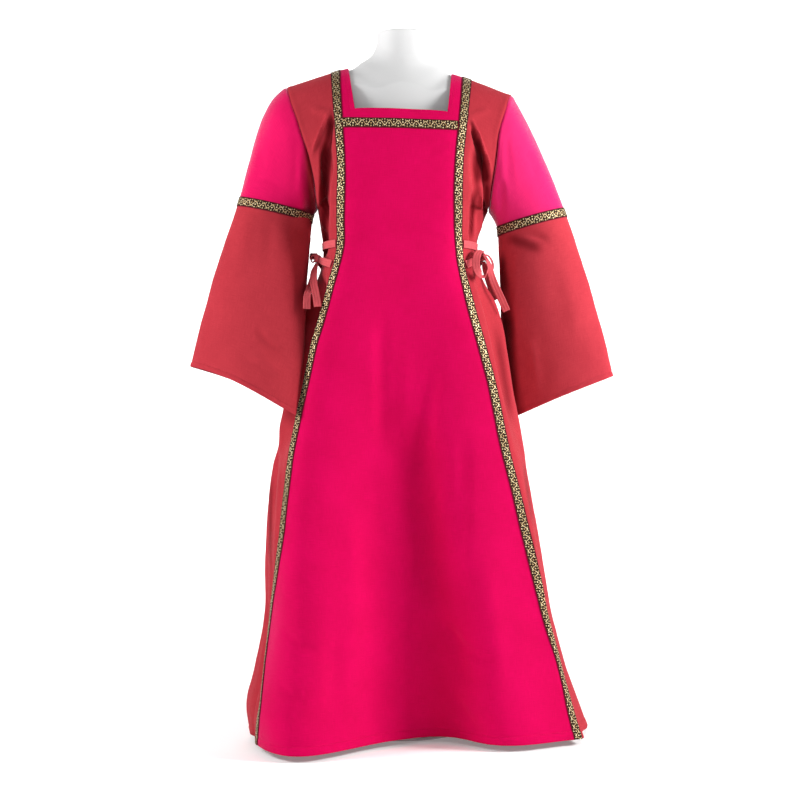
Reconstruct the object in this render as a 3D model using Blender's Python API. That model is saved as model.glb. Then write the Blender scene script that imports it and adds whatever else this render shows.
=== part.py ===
"""A child's medieval gown with flared sleeves, on a limbless dress form.

Metres, +Z up, the front faces -Y, and the origin is under the middle of the form's base. Left and right are
the viewer's. The gown's outer face is one surface, worked out from short tables. Its panels are cut out of it
along the seams, and each is a wall as thick as the cloth. What lies on a panel is made from the panel's own
points, moved outwards.
"""

import math

import bmesh
import bpy
from mathutils import Vector

# Cloth and sewing
CLOTH = 0.0012
GAP = 0.0003
TRIM_WIDTH = 0.016
TRIM = 0.0010
TIE_WIDTH = 0.012

# Main heights of the gown
NECK_POINT = 1.060
SHOULDER_TIP = {"left": 1.021, "right": 1.028}
NECKLINE = 0.9838
CHEST = 0.880
UNDERARM = 0.836
HEM = 0.010

# The shoulder seams lie this far in front of the middle of the stand
AHEAD = 0.030
# How much the left side is turned to the front and lifted at the shoulders, per metre of width
TURN = 0.050
LIFT = 0.045
LIFT_FROM = 0.75

ARM_FRONT = 0.066
ARM_BACK = 0.058
NECK_EDGE = 0.080

COLOURS = {
    "pink": (0.86, 0.0, 0.13),
    "raspberry": (0.46, 0.045, 0.075),
    "gold_trim": (0.30, 0.22, 0.09),
    "coral": (0.86, 0.14, 0.16),
    "grey_shell": (0.72, 0.72, 0.73),
    "grey_metal": (0.45, 0.45, 0.46),
}

# Where the two front seams run
SEAMS = [
    "height left right",
    (1.063, -0.1024, 0.1070),
    (0.968, -0.0946, 0.0967),
    (0.901, -0.0908, 0.0911),
    (0.809, -0.0923, 0.0900),
    (0.775, -0.0920, 0.0915),
    (0.745, -0.0975, 0.0945),
    (0.700, -0.1095, 0.1040),
    (0.655, -0.1215, 0.1155),
    (0.613, -0.1334, 0.1270),
    (0.560, -0.1438, 0.1410),
    (0.460, -0.1642, 0.1610),
    (0.390, -0.1730, 0.1786),
    (0.325, -0.1795, 0.1940),
    (0.195, -0.1990, 0.2265),
    (0.130, -0.2060, 0.2445),
    (0.010, -0.2170, 0.2745),
]

# How far the gown reaches to each side, how far back its sides and its back lie
SIDES = [
    "height left right left_back right_back back",
    (0.836, -0.131, 0.141, 0.000, 0.000, 0.093),
    (0.805, -0.1265, 0.129, 0.000, 0.000, 0.089),
    (0.775, -0.122, 0.1225, 0.000, 0.002, 0.085),
    (0.745, -0.124, 0.1245, 0.000, 0.002, 0.086),
    (0.715, -0.134, 0.137, 0.000, 0.004, 0.092),
    (0.690, -0.142, 0.148, 0.000, 0.005, 0.099),
    (0.640, -0.157, 0.161, -0.002, 0.006, 0.112),
    (0.560, -0.171, 0.173, -0.004, 0.008, 0.130),
    (0.484, -0.186, 0.1875, -0.006, 0.012, 0.145),
    (0.388, -0.2005, 0.204, -0.010, 0.022, 0.158),
    (0.292, -0.2065, 0.219, -0.013, 0.034, 0.170),
    (0.196, -0.2080, 0.236, -0.016, 0.046, 0.181),
    (0.110, -0.2235, 0.2595, -0.018, 0.055, 0.190),
    (0.060, -0.2350, 0.2775, -0.020, 0.060, 0.196),
    (0.010, -0.2300, 0.296, -0.020, 0.060, 0.202),
]

# How far forward the front lies at its left lobe, its middle, its right lobe and its right edge
FRONTS = [
    "height left middle right edge square right_square",
    (0.880, -0.105, -0.105, -0.105, -0.105, 3.2, 3.2),
    (0.836, -0.103, -0.103, -0.103, -0.103, 3.4, 3.4),
    (0.775, -0.097, -0.096, -0.097, -0.097, 4.0, 4.0),
    (0.700, -0.106, -0.102, -0.105, -0.103, 4.2, 4.4),
    (0.640, -0.116, -0.103, -0.109, -0.105, 4.6, 7.0),
    (0.560, -0.128, -0.104, -0.115, -0.107, 5.0, 14.0),
    (0.484, -0.142, -0.104, -0.121, -0.109, 5.5, 20.0),
    (0.388, -0.160, -0.102, -0.128, -0.110, 5.5, 34.0),
    (0.292, -0.180, -0.100, -0.135, -0.111, 5.5, 90.0),
    (0.196, -0.202, -0.098, -0.143, -0.112, 5.5, 100.0),
    (0.110, -0.222, -0.096, -0.149, -0.112, 5.5, 60.0),
    (0.010, -0.237, -0.095, -0.156, -0.112, 5.5, 50.0),
]
LOBE_LEFT = -0.80
LOBE_RIGHT = 0.52
BACK_SQUARE = 2.6

# Sideways place of the armhole's edge, by the turn round the armhole from the shoulder tip
ARMHOLE = [
    "turn left right",
    (0, -0.181, 0.181),
    (45, -0.172, 0.168),
    (75, -0.157, 0.1555),
    (105, -0.1415, 0.150),
    (135, -0.133, 0.144),
    (180, -0.131, 0.141),
]

# The largest folds: where each starts and ends, as a share of the way across its panel, how wide it is there,
# how far it stands out (or lies in), and over what height it fades in and out
FOLDS = [
    "panel top bottom start end top_width end_width out fade_in fade_out",
    ("side_front_left", 0.975, 0.790, 0.44, 0.54, 0.24, 0.36, -0.014, 0.06, 0.05),
    ("side_front_left", 0.735, 0.400, 0.44, 0.42, 0.36, 0.40, -0.026, 0.05, 0.18),
    ("side_front_left", 0.730, 0.010, 0.86, 0.80, 0.20, 0.22, 0.006, 0.08, 0.00),
    ("side_front_left", 0.330, 0.010, 0.34, 0.42, 0.22, 0.24, -0.012, 0.12, 0.00),
    ("side_front_right", 0.975, 0.790, 0.46, 0.56, 0.24, 0.36, -0.013, 0.06, 0.05),
    ("side_front_right", 0.735, 0.420, 0.50, 0.52, 0.30, 0.34, -0.014, 0.05, 0.16),
    ("side_front_right", 0.730, 0.010, 0.84, 0.82, 0.18, 0.20, 0.006, 0.06, 0.00),
    ("side_front_right", 0.330, 0.010, 0.44, 0.50, 0.24, 0.26, -0.010, 0.12, 0.00),
    ("back_panel", 0.740, 0.010, 0.20, 0.14, 0.09, 0.11, -0.014, 0.25, 0.00),
    ("back_panel", 0.740, 0.010, 0.34, 0.31, 0.09, 0.12, 0.012, 0.30, 0.00),
    ("back_panel", 0.740, 0.010, 0.45, 0.46, 0.08, 0.11, -0.014, 0.25, 0.00),
    ("back_panel", 0.740, 0.010, 0.57, 0.63, 0.08, 0.11, 0.012, 0.30, 0.00),
    ("back_panel", 0.740, 0.010, 0.70, 0.78, 0.09, 0.11, -0.013, 0.25, 0.00),
    ("back_panel", 0.830, 0.770, 0.16, 0.18, 0.06, 0.07, -0.008, 0.03, 0.02),
    ("back_panel", 0.830, 0.770, 0.84, 0.82, 0.06, 0.07, -0.008, 0.03, 0.02),
]

# Rings of each sleeve below the upper sleeve: 1 is its lower seam and 2 is the cuff. The outer and the inner
# edge of the flattened sleeve, half its depth, and how pointed its edges are
SLEEVES = {
    "left": [
        "ring outer_x outer_y outer_z inner_x inner_y inner_z depth power",
        (1.00, -0.2572, -0.012, 0.8473, -0.1396, -0.008, 0.8199, 0.043, 2.0),
        (1.35, -0.2865, -0.014, 0.7548, -0.1475, -0.058, 0.7043, 0.042, 1.9),
        (1.70, -0.3122, -0.020, 0.6623, -0.1490, -0.094, 0.6063, 0.036, 1.8),
        (2.00, -0.3308, -0.026, 0.5843, -0.1597, -0.124, 0.5090, 0.030, 1.7),
    ],
    "right": [
        "ring outer_x outer_y outer_z inner_x inner_y inner_z depth power",
        (1.00, 0.2652, 0.012, 0.8326, 0.1565, 0.008, 0.8016, 0.043, 2.0),
        (1.35, 0.2932, 0.018, 0.7544, 0.1620, 0.020, 0.7094, 0.042, 1.9),
        (1.70, 0.3205, 0.024, 0.6644, 0.1665, 0.040, 0.6213, 0.037, 1.8),
        (2.00, 0.3455, 0.030, 0.5708, 0.1850, 0.062, 0.5030, 0.033, 1.7),
    ],
}
CUFF_BOW = {"left": 0.010, "right": 0.003}
# How much a sleeve leaves the shoulder outwards, and how much downwards
LEAVE = {"left": (1.00, -0.40), "right": (0.52, -0.85)}
SIGN = {"left": -1, "right": 1}

# Rows of points: by the way down the armhole, then by height
ARM_ROWS = [0, 1 / 12, 2 / 12, 3 / 12, 4 / 12, 5 / 12, 6 / 12, 7 / 12, 0.645, 0.698, 0.77, 0.85, 0.925, 0.975, 1]
NECKLINE_ROW = 7
BACK_NECK_ROW = 6
NECK_TRIM_ROWS = (8, 9)
BODY_HEIGHTS = [0.811, 0.781, 0.769, 0.745, 0.72, 0.69, 0.65, 0.60, 0.55, 0.50,
                0.45, 0.40, 0.35, 0.30, 0.25, 0.20, 0.15, 0.10, 0.055, HEM]
FRONT_CELLS = 10
SIDE_CELLS = 7
BACK_CELLS = 8


# Reading the tables

def curve(table, column):
    """Gives a smooth function of a table's first column that passes through one of its named columns."""
    index = table[0].split().index(column)
    rows = sorted(table[1:])
    at = [row[0] for row in rows]
    values = [row[index] for row in rows]
    slopes = []
    for i in range(len(rows)):
        low, high = max(i - 1, 0), min(i + 1, len(rows) - 1)
        slopes.append((values[high] - values[low]) / (at[high] - at[low]))

    def read(x):
        x = min(max(x, at[0]), at[-1])
        i = 0
        while i < len(at) - 2 and x > at[i + 1]:
            i += 1
        step = at[i + 1] - at[i]
        t = (x - at[i]) / step
        start = values[i] * (1 + 2 * t) * (1 - t) ** 2 + slopes[i] * step * t * (1 - t) ** 2
        end = values[i + 1] * t * t * (3 - 2 * t) - slopes[i + 1] * step * t * t * (1 - t)
        return start + end

    return read


def columns(table):
    """Gives one smooth function for each named column of a table."""
    return {name: curve(table, name) for name in table[0].split()[1:]}


def ease(x):
    x = min(max(x, 0.0), 1.0)
    return x * x * (3 - 2 * x)


def mix(a, b, share):
    return a + (b - a) * share


SEAM = columns(SEAMS)
SIDE = columns(SIDES)
FRONT = columns(FRONTS)
ARM = columns(ARMHOLE)
SLEEVE = {side: columns(table) for side, table in SLEEVES.items()}


# The gown's surface. "down" runs from 0 on the shoulder seam to 1 under the arm and on to the hem, and
# "across" from -1 at the left edge to 1 at the right edge of the front or of the back.

ARM_DROP = NECK_POINT - UNDERARM


def height_of(down):
    if down < 1:
        return NECK_POINT - ARM_DROP * down * down
    return UNDERARM - 2 * ARM_DROP * (down - 1)


def down_of(height):
    if height > UNDERARM:
        return math.sqrt((NECK_POINT - height) / ARM_DROP)
    return 1 + (UNDERARM - height) / (2 * ARM_DROP)


def arm_turn(down):
    """The turn round the armhole, in degrees from the shoulder tip, that a row's edge lies at."""
    down = min(down, 1.0)
    return 180 * (0.5 * down + math.asin(down) / math.pi)


def edges(down):
    """Sideways places of a row's left and right edge."""
    if down < 1:
        turn = arm_turn(down)
        return ARM["left"](turn), ARM["right"](turn)
    height = height_of(down)
    return SIDE["left"](height), SIDE["right"](height)


def fullness(down):
    """1 where the cloth ends at an armhole, and 0.5 where it rounds into the side."""
    return 1 - 0.5 * ease((down - 0.72) / 0.28)


def seam_share(side, down):
    """How far across the front the seam lies, from 0 in the middle to 1 at the edge."""
    left, right = edges(down)
    middle = (left + right) / 2
    return abs((SEAM[side](height_of(down)) - middle) / (right - middle))


def spread(share, down):
    """Even steps along the cloth near a round side, for a share of the width."""
    return 1 - (1 - share) ** fullness(down)


def gather(step, down):
    return 1 - (1 - step) ** (1 / fullness(down))


def shoulder_slope(x, edge):
    """How much of the shoulder's drop a point has, from 0 at the neck to 1 at the edge."""
    soft = 0.012

    def ramp(beyond):
        return (beyond + math.hypot(beyond, soft)) / 2

    return ramp(abs(x) - NECK_EDGE) / ramp(abs(edge) - NECK_EDGE)


def front_reach(across, height):
    """How far forward the front would lie here if it didn't round into the sides."""
    chest = min(height, CHEST)
    stops = [LOBE_LEFT, 0.0, LOBE_RIGHT, 1.0]
    reach = [FRONT[name](chest) for name in ("left", "middle", "right", "edge")]
    if across <= stops[0]:
        return reach[0]
    i = max(k for k in range(3) if across >= stops[k])
    return mix(reach[i], reach[i + 1], ease((across - stops[i]) / (stops[i + 1] - stops[i])))


def shoulder_arc(height):
    """1 at the chest, and 0 on top of the shoulder, along a quarter of an ellipse."""
    if height <= CHEST:
        return 1.0
    rise = min((height - CHEST) / (NECK_POINT - CHEST), 1.0)
    return math.sqrt(1 - rise * rise)


def smooth_point(face, across, down):
    """A point of the gown before its folds, on its front or its back."""
    left, right = edges(down)
    height = height_of(down)
    x = mix(left, right, (across + 1) / 2)
    edge = right if x > 0 else left
    if down < 1:
        turn = math.radians(arm_turn(down))
        arm = -ARM_FRONT if face == "front" else ARM_BACK
        side = arm * math.sin(turn)
        tip = SHOULDER_TIP["right" if x > 0 else "left"]
        edge_height = (tip + UNDERARM) / 2 + (tip - UNDERARM) / 2 * math.cos(turn)
    else:
        side = mix(SIDE["left_back"](height), SIDE["right_back"](height), (across + 1) / 2)
        edge_height = height
    if face == "front":
        reach = front_reach(across, height) * shoulder_arc(height)
        square = FRONT["right_square" if across > 0 else "square"](min(height, CHEST))
    else:
        reach = SIDE["back"](min(height, UNDERARM)) * shoulder_arc(height)
        square = BACK_SQUARE
    share = min(abs(across), 1.0)
    y = side + (reach - side) * (1 - share ** square) ** fullness(down)
    z = height - (height - edge_height) * shoulder_slope(x, edge)
    z -= LIFT * x * max(0.0, (height - LIFT_FROM) / (NECK_POINT - LIFT_FROM)) ** 2
    return Vector((x, y + TURN * x - AHEAD, z))


def panel_of(face, across, down):
    """The panel that a point lies on, and how far across it, from its first seam to its second."""
    step = spread(abs(across), down)
    if face == "back":
        return "back_panel", (math.copysign(step, across) + 1) / 2
    side = "right" if across > 0 else "left"
    seam = spread(seam_share(side, down), down)
    if step > seam:
        return "side_front_" + side, (step - seam) / (1 - seam)
    return "front_panel", 0.5


def fold_depth(face, across, down):
    """How far the folds push the cloth out here."""
    panel, share = panel_of(face, across, down)
    height = height_of(down)
    total = 0.0
    for name, top, bottom, start, end, top_width, end_width, out, fade_in, fade_out in FOLDS[1:]:
        if name != panel or not bottom - 0.001 <= height <= top:
            continue
        way = (top - height) / (top - bottom)
        off = (share - mix(start, end, way)) / mix(top_width, end_width, way)
        if abs(off) >= 1:
            continue
        strength = ease((top - height) / fade_in)
        if fade_out:
            strength *= ease((height - bottom) / fade_out)
        total += out * strength * math.cos(off * math.pi / 2) ** 2
    return total


def gown(face, across, down):
    """A point of the gown's outer face."""
    point = smooth_point(face, across, down)
    depth = fold_depth(face, across, down)
    if depth:
        step = 0.002 if across < 0 else -0.002
        along = smooth_point(face, across + step, down) - point
        if step < 0:
            along = -along
        out = Vector((along.y, -along.x, 0)).normalized()
        if face == "back":
            out = -out
        point = point + out * depth
    return point


def gown_normal(face, across, down):
    """The way straight out of the gown's outer face."""
    inner = 0.0005 if across < 0 else -0.0005
    lower = 0.002
    point = gown(face, across, down)
    along = gown(face, across + inner, down) - point
    if inner < 0:
        along = -along
    below = gown(face, across, down + lower) - point
    out = below.cross(along)
    if face == "back":
        out = -out
    return out.normalized()


# The sleeves. "turn" goes round from the shoulder tip (or the outer edge) over the front, and "along" runs
# from 0 at the armhole to 1 at the lower seam of the upper sleeve and 2 at the cuff.

def armhole_down(turn):
    """The row whose edge lies at a turn round the armhole."""
    low, high = 0.0, 1.0
    for _ in range(40):
        middle = (low + high) / 2
        if arm_turn(middle) < turn:
            low = middle
        else:
            high = middle
    return (low + high) / 2


def armhole_point(side, turn):
    """A point of the armhole's edge, for a turn from 0 to 360 degrees."""
    face = "front" if turn <= 180 else "back"
    return gown(face, SIGN[side], armhole_down(min(turn, 360 - turn)))


def sleeve_ring(side, turn, ring):
    """A point of the sleeve at or below the seam between upper and lower sleeve."""
    table = SLEEVE[side]
    outer = Vector([table["outer_" + axis](ring) for axis in "xyz"])
    inner = Vector([table["inner_" + axis](ring) for axis in "xyz"])
    half = (outer - inner) / 2
    forward = Vector((0, -1, 0))
    forward = (forward - half * forward.dot(half) / half.length_squared).normalized()
    angle = math.radians(turn)
    power = 2 / table["power"](ring)
    wide = math.copysign(abs(math.cos(angle)) ** power, math.cos(angle))
    deep = math.copysign(abs(math.sin(angle)) ** power, math.sin(angle))
    point = (outer + inner) / 2 + half * wide + forward * deep * table["depth"](ring)
    point.z += CUFF_BOW[side] * ease(ring - 1) * math.sin(angle) ** 2
    point.y -= AHEAD
    return point


def sleeve(side, turn, along):
    """A point of a sleeve's outer face."""
    if along >= 1:
        return sleeve_ring(side, turn, along)
    angle = math.radians(turn)
    start = armhole_point(side, turn)
    end = sleeve_ring(side, turn, 1)
    length = (end - start).length
    top = (1 + math.cos(angle)) / 2
    out, fall = LEAVE[side]
    leave = Vector((SIGN[side] * mix(0.52, out, top), -0.25 * math.sin(angle), mix(-0.85, fall, top)))
    leave = leave.normalized() * length * 0.75
    arrive = (sleeve_ring(side, turn, 1.01) - end).normalized() * length
    t = along
    point = start * (1 + 2 * t) * (1 - t) ** 2 + leave * t * (1 - t) ** 2
    return point + end * t * t * (3 - 2 * t) - arrive * t * t * (1 - t)


def sleeve_normal(side, turn, along):
    step = -0.002 if along >= 2 else 0.002
    if along < 1 < along + step * 2:
        step = -0.002
    point = sleeve(side, turn, along)
    round_it = sleeve(side, (turn + 0.2) % 360, along) - sleeve(side, (turn - 0.2) % 360, along)
    down = sleeve(side, turn, along + step) - point
    if step < 0:
        down = -down
    return (round_it.cross(down) * SIGN[side]).normalized()


def armhole_mitre(side, turn):
    """The way through the cloth at the armhole, shared by the panel and the sleeve."""
    down = min(armhole_down(min(turn, 360 - turn)), 0.9999)
    if 1 < turn < 359:
        body = gown_normal("front" if turn <= 180 else "back", SIGN[side] * 0.9995, down)
    else:
        body = gown_normal("front", SIGN[side] * 0.9995, 0) + gown_normal("back", SIGN[side] * 0.9995, 0)
        body.normalize()
    arm = sleeve_normal(side, turn, 0.001)
    both = (body + arm).normalized()
    return both * (CLOTH / max(both.dot(body), 0.45))


# Building the pieces

def material(name):
    """A plain material of one of the gown's colours."""
    made = bpy.data.materials.get(name)
    if not made:
        made = bpy.data.materials.new(name)
        made.use_nodes = True
        shader = made.node_tree.nodes["Principled BSDF"]
        shader.inputs["Base Color"].default_value = (*COLOURS[name], 1)
        shader.inputs["Roughness"].default_value = 0.35 if name == "grey_metal" else 0.85
        shader.inputs["Metallic"].default_value = 1.0 if name == "grey_metal" else 0.0
    return made


def add_piece(name, bm, colour):
    """Makes a named object with its own material out of a bmesh."""
    bmesh.ops.recalc_face_normals(bm, faces=bm.faces)
    mesh = bpy.data.meshes.new(name)
    bm.to_mesh(mesh)
    bm.free()
    mesh.materials.append(material(colour))
    mesh.shade_smooth()
    mesh.set_sharp_from_angle(angle=math.radians(50))
    piece = bpy.data.objects.new(name, mesh)
    model.objects.link(piece)
    return piece


def cloth_wall(name, outer, inward, colour, holes=(), closed=False):
    """A wall of cloth: a grid laid on the outer points, then extruded inwards with its face kept.

    outer and inward are rows of points and of the ways through the cloth at them. holes are the cells, as
    (row, column), that an opening leaves out, and closed joins the last column to the first.
    """
    wide = len(outer[0]) - 1
    bm = bmesh.new()
    bmesh.ops.create_grid(bm, x_segments=wide, y_segments=len(outer) - 1, size=1)
    bm.verts.ensure_lookup_table()
    bm.faces.ensure_lookup_table()
    for index, vert in enumerate(bm.verts):
        row, column = divmod(index, wide + 1)
        vert.co = outer[row][column]
    cells = [bm.faces[row * wide + column] for row, column in holes]
    bmesh.ops.delete(bm, geom=cells, context="FACES")
    if closed:
        bmesh.ops.remove_doubles(bm, verts=bm.verts, dist=0.00002)
    bmesh.ops.triangulate(bm, faces=bm.faces[:], quad_method="FIXED")
    through = {}
    for row, ways in zip(outer, inward):
        for point, way in zip(row, ways):
            through[tuple(round(value, 5) for value in point)] = way
    kept = set(bm.verts)
    bmesh.ops.extrude_face_region(bm, geom=bm.faces[:], use_keep_orig=True)
    for vert in bm.verts:
        if vert not in kept:
            vert.co += through[tuple(round(value, 5) for value in vert.co)]
    return add_piece(name, bm, colour)


def pull_in(outer, sides, distance=GAP / 2):
    """Moves the outermost points of a grid inwards, for half of the gap at a seam."""
    if "left" in sides or "right" in sides:
        for row in outer:
            first, last = (row[1] - row[0]).normalized(), (row[-2] - row[-1]).normalized()
            if "left" in sides:
                row[0] = row[0] + first * distance
            if "right" in sides:
                row[-1] = row[-1] + last * distance
    for side, edge, beside in (("top", 0, 1), ("bottom", -1, -2)):
        if side in sides:
            ways = [(b - a).normalized() for a, b in zip(outer[edge], outer[beside])]
            outer[edge] = [a + way * distance for a, way in zip(outer[edge], ways)]


NECK = [
    "height left right",
    (1.060, -0.0821, 0.0822),
    (0.9838, -0.0700, 0.0738),
]
OPENING = columns(NECK)
DOWNS = list(ARM_ROWS) + [down_of(height) for height in BODY_HEIGHTS]


def across_of(x, down):
    left, right = edges(down)
    return (2 * x - left - right) / (right - left)


def opening_edge(side, down):
    """Sideways place of the neck opening's edge, or of the line straight below it."""
    height = height_of(down)
    low = max(height, NECKLINE)
    return OPENING[side](low) + (SEAM[side](height) - SEAM[side](low))


def beside_seam(side, down, distance):
    """How far across a point lies that is a distance outside a front seam, along the cloth."""
    seam = across_of(SEAM[side](height_of(down)), down)
    step = 0.002 * SIGN[side]
    length = (smooth_point("front", seam + step, down) - smooth_point("front", seam - step, down)).length
    near = seam + SIGN[side] * distance * 0.004 / length
    length = (smooth_point("front", near, down) - smooth_point("front", seam, down)).length
    return seam + (near - seam) * abs(distance) / length


def front_columns(down):
    stops = []
    for side in ("left", "right"):
        seam = across_of(SEAM[side](height_of(down)), down)
        trim = beside_seam(side, down, -TRIM_WIDTH / 2)
        stops.append([seam, trim, across_of(opening_edge(side, down), down)])
    left, right = stops
    between = [mix(left[2], right[2], i / FRONT_CELLS) for i in range(1, FRONT_CELLS)]
    return left + between + right[::-1]


def side_columns(side, down):
    """From the seam to the armhole or the side seam."""
    seam = across_of(SEAM[side](height_of(down)), down)
    trim = beside_seam(side, down, TRIM_WIDTH / 2)
    first = spread(abs(trim), down)
    steps = [mix(first, 1, i / SIDE_CELLS) for i in range(SIDE_CELLS)]
    return [seam, trim] + [SIGN[side] * gather(step, down) for step in steps[1:]] + [SIGN[side] * 1.0]


def back_columns(down):
    left = across_of(opening_edge("left", min(down, 0.5)), down)
    right = across_of(opening_edge("right", min(down, 0.5)), down)
    first = [-gather(mix(1, spread(-left, down), i / SIDE_CELLS), down) for i in range(SIDE_CELLS)]
    last = [gather(mix(1, spread(right, down), i / SIDE_CELLS), down) for i in range(SIDE_CELLS)]
    between = [mix(left, right, i / BACK_CELLS) for i in range(BACK_CELLS + 1)]
    return first + between + last[::-1]


def cut(face, layout, proud=0.0, thick=CLOTH, downs=None):
    """Points of a piece cut out of the gown's surface, from left to right, and the ways through it."""
    outer, inward = [], []
    for down in DOWNS if downs is None else downs:
        points, ways = [], []
        for across in sorted(layout(down)):
            normal = gown_normal(face, across, down)
            points.append(gown(face, across, down) + normal * proud)
            ways.append(-normal * thick)
        outer.append(points)
        inward.append(ways)
    return outer, inward


def mitre_armhole(inward, column, side, face):
    for row in range(len(ARM_ROWS)):
        turn = arm_turn(DOWNS[row])
        inward[row][column] = -armhole_mitre(side, turn if face == "front" else 360 - turn)


def make_front():
    """The pink centre panel, with a strap on each side of the square neck."""
    outer, inward = cut("front", front_columns)
    pull_in(outer, ("left", "right", "top"))
    holes = [(row, 2 + column) for row in range(NECKLINE_ROW) for column in range(FRONT_CELLS)]
    cloth_wall("front_panel", outer, inward, "pink", holes)


def make_side_front(side):
    """A side front, from the shoulder and the armhole to the hem."""
    outer, inward = cut("front", lambda down: side_columns(side, down))
    pull_in(outer, ("left", "right", "top"))
    mitre_armhole(inward, 0 if side == "left" else -1, side, "front")
    cloth_wall("side_front_" + side, outer, inward, "raspberry")


def make_back():
    """The back, from side seam to side seam, with a low square neck."""
    outer, inward = cut("back", back_columns)
    pull_in(outer, ("left", "right", "top"))
    mitre_armhole(inward, 0, "left", "back")
    mitre_armhole(inward, -1, "right", "back")
    holes = [(row, SIDE_CELLS + column) for row in range(BACK_NECK_ROW) for column in range(BACK_CELLS)]
    cloth_wall("back_panel", outer, inward, "raspberry", holes)


def make_trims():
    """Woven trim over both front seams, and across the chest between them."""
    for side in SIGN:
        def strip(down):
            inner = beside_seam(side, down, -TRIM_WIDTH / 2)
            seam = across_of(SEAM[side](height_of(down)), down)
            return [inner, seam, beside_seam(side, down, TRIM_WIDTH / 2)]

        outer, inward = cut("front", strip, GAP + TRIM, TRIM)
        pull_in(outer, ("top",))
        cloth_wall("trim_front_" + side, outer, inward, "gold_trim")
    downs = [DOWNS[row] for row in NECK_TRIM_ROWS]
    outer, inward = cut("front", lambda down: front_columns(down)[1:-1], GAP + TRIM, TRIM, downs)
    pull_in(outer, ("left", "right"), GAP)
    cloth_wall("trim_neck", outer, inward, "gold_trim")


def sleeve_turns():
    half = [arm_turn(down) for down in ARM_ROWS]
    return half + [360 - turn for turn in reversed(half[:-1])]


def trim_step(side, turn, way):
    """How far along the sleeve half the trim's width reaches, above (-1) or below (1) its seam."""
    step = 0.01
    length = (sleeve(side, turn, 1 + way * step) - sleeve(side, turn, 1)).length
    return TRIM_WIDTH / 2 * step / length


def sleeve_grid(side, rows, proud=0.0, thick=CLOTH):
    """Points of a piece of a sleeve. rows are functions of the turn."""
    outer, inward = [], []
    for row in rows:
        points, ways = [], []
        for turn in sleeve_turns():
            along = row(turn)
            normal = sleeve_normal(side, turn, along)
            points.append(sleeve(side, turn, along) + normal * proud)
            ways.append(-normal * thick)
        points[-1], ways[-1] = points[0].copy(), ways[0].copy()
        outer.append(points)
        inward.append(ways)
    return outer, inward


UPPER_SLEEVE_ROWS = 6
LOWER_SLEEVE_ROWS = 8
ARMHOLE_GAP = 0.0004


def make_sleeve(side):
    """The upper sleeve, the flared lower sleeve, and the trim round their seam."""
    above = {turn: trim_step(side, turn, -1) for turn in sleeve_turns()}
    below = {turn: trim_step(side, turn, 1) for turn in sleeve_turns()}
    rows = [lambda turn, i=i: (1 - above[turn]) * i / UPPER_SLEEVE_ROWS for i in range(UPPER_SLEEVE_ROWS + 1)]
    outer, inward = sleeve_grid(side, rows + [lambda turn: 1])
    inward[0] = [-armhole_mitre(side, turn) for turn in sleeve_turns()]
    inward[0][-1] = inward[0][0].copy()
    pull_in(outer, ("top",), ARMHOLE_GAP)
    pull_in(outer, ("bottom",))
    cloth_wall("upper_sleeve_" + side, outer, inward, "pink", closed=True)

    rows = [lambda turn: 1]
    for i in range(LOWER_SLEEVE_ROWS + 1):
        rows.append(lambda turn, i=i: mix(1 + below[turn], 2, i / LOWER_SLEEVE_ROWS))
    outer, inward = sleeve_grid(side, rows)
    pull_in(outer, ("top",))
    cloth_wall("lower_sleeve_" + side, outer, inward, "raspberry", closed=True)

    rows = [lambda turn: 1 - above[turn], lambda turn: 1, lambda turn: 1 + below[turn]]
    outer, inward = sleeve_grid(side, rows, GAP + TRIM, TRIM)
    cloth_wall("trim_sleeve_" + side, outer, inward, "gold_trim", closed=True)


# The dress form: its top follows the inside of the gown's shoulders, and rises to the neck

NECK_X = 0.008
NECK_Y = -0.006
NECK_RADIUS = 0.0448
NECK_TOP = 1.116
NECK_EDGE_ROUND = 0.003
NECK_EDGE_STEP = 0.0008
# How far out the neck's curve reaches: at its sides, how much more of it on the left, and at the back
FLARE_SIDE = 0.0365
FLARE_LEAN = 0.0078
FLARE_BACK = 0.024
FORM_X = 0.004
FORM_CLEAR = 0.0016
FORM_SIDES = 36
SHOULDER_HALF = 0.140
SHOULDER_FRONT = 0.066
SHOULDER_BACK = 0.062
FORM_POWER = 2.3

RISES = [
    "share rise",
    (0.00, 0.0430),
    (0.10, 0.0295),
    (0.28, 0.0192),
    (0.60, 0.0100),
    (0.76, 0.0040),
    (0.88, 0.0004),
    (0.95, 0.0000),
]
RISE = curve(RISES, "rise")

FORM_RINGS = [
    "height half_width front back",
    (0.975, 0.134, 0.072, 0.066),
    (0.925, 0.124, 0.080, 0.070),
    (0.855, 0.109, 0.084, 0.071),
    (0.795, 0.098, 0.074, 0.064),
    (0.745, 0.097, 0.070, 0.066),
    (0.690, 0.106, 0.072, 0.076),
    (0.645, 0.110, 0.074, 0.080),
    (0.615, 0.102, 0.068, 0.074),
    (0.602, 0.078, 0.050, 0.056),
]


def gown_height(x, y):
    """Height of the gown above a place under its shoulders, with y measured from the shoulder seams."""
    face = "front" if y < 0 else "back"
    low, high = 0.0, 0.72
    for _ in range(30):
        down = (low + high) / 2
        across = min(max(across_of(x, down), -1), 1)
        point = smooth_point(face, across, down)
        if abs(point.y + AHEAD - TURN * x) < abs(y):
            low = down
        else:
            high = down
    return point.z


def form_height(x, y):
    """Height of the form there: under the gown's cloth, and clear of it."""
    step = 0.003
    height = gown_height(x, y)
    slope_x = (gown_height(x + step, y) - gown_height(x - step, y)) / (2 * step)
    slope_y = (gown_height(x, y + step) - gown_height(x, y - step)) / (2 * step)
    return height - (CLOTH + FORM_CLEAR) * math.sqrt(1 + slope_x ** 2 + slope_y ** 2)


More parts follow.
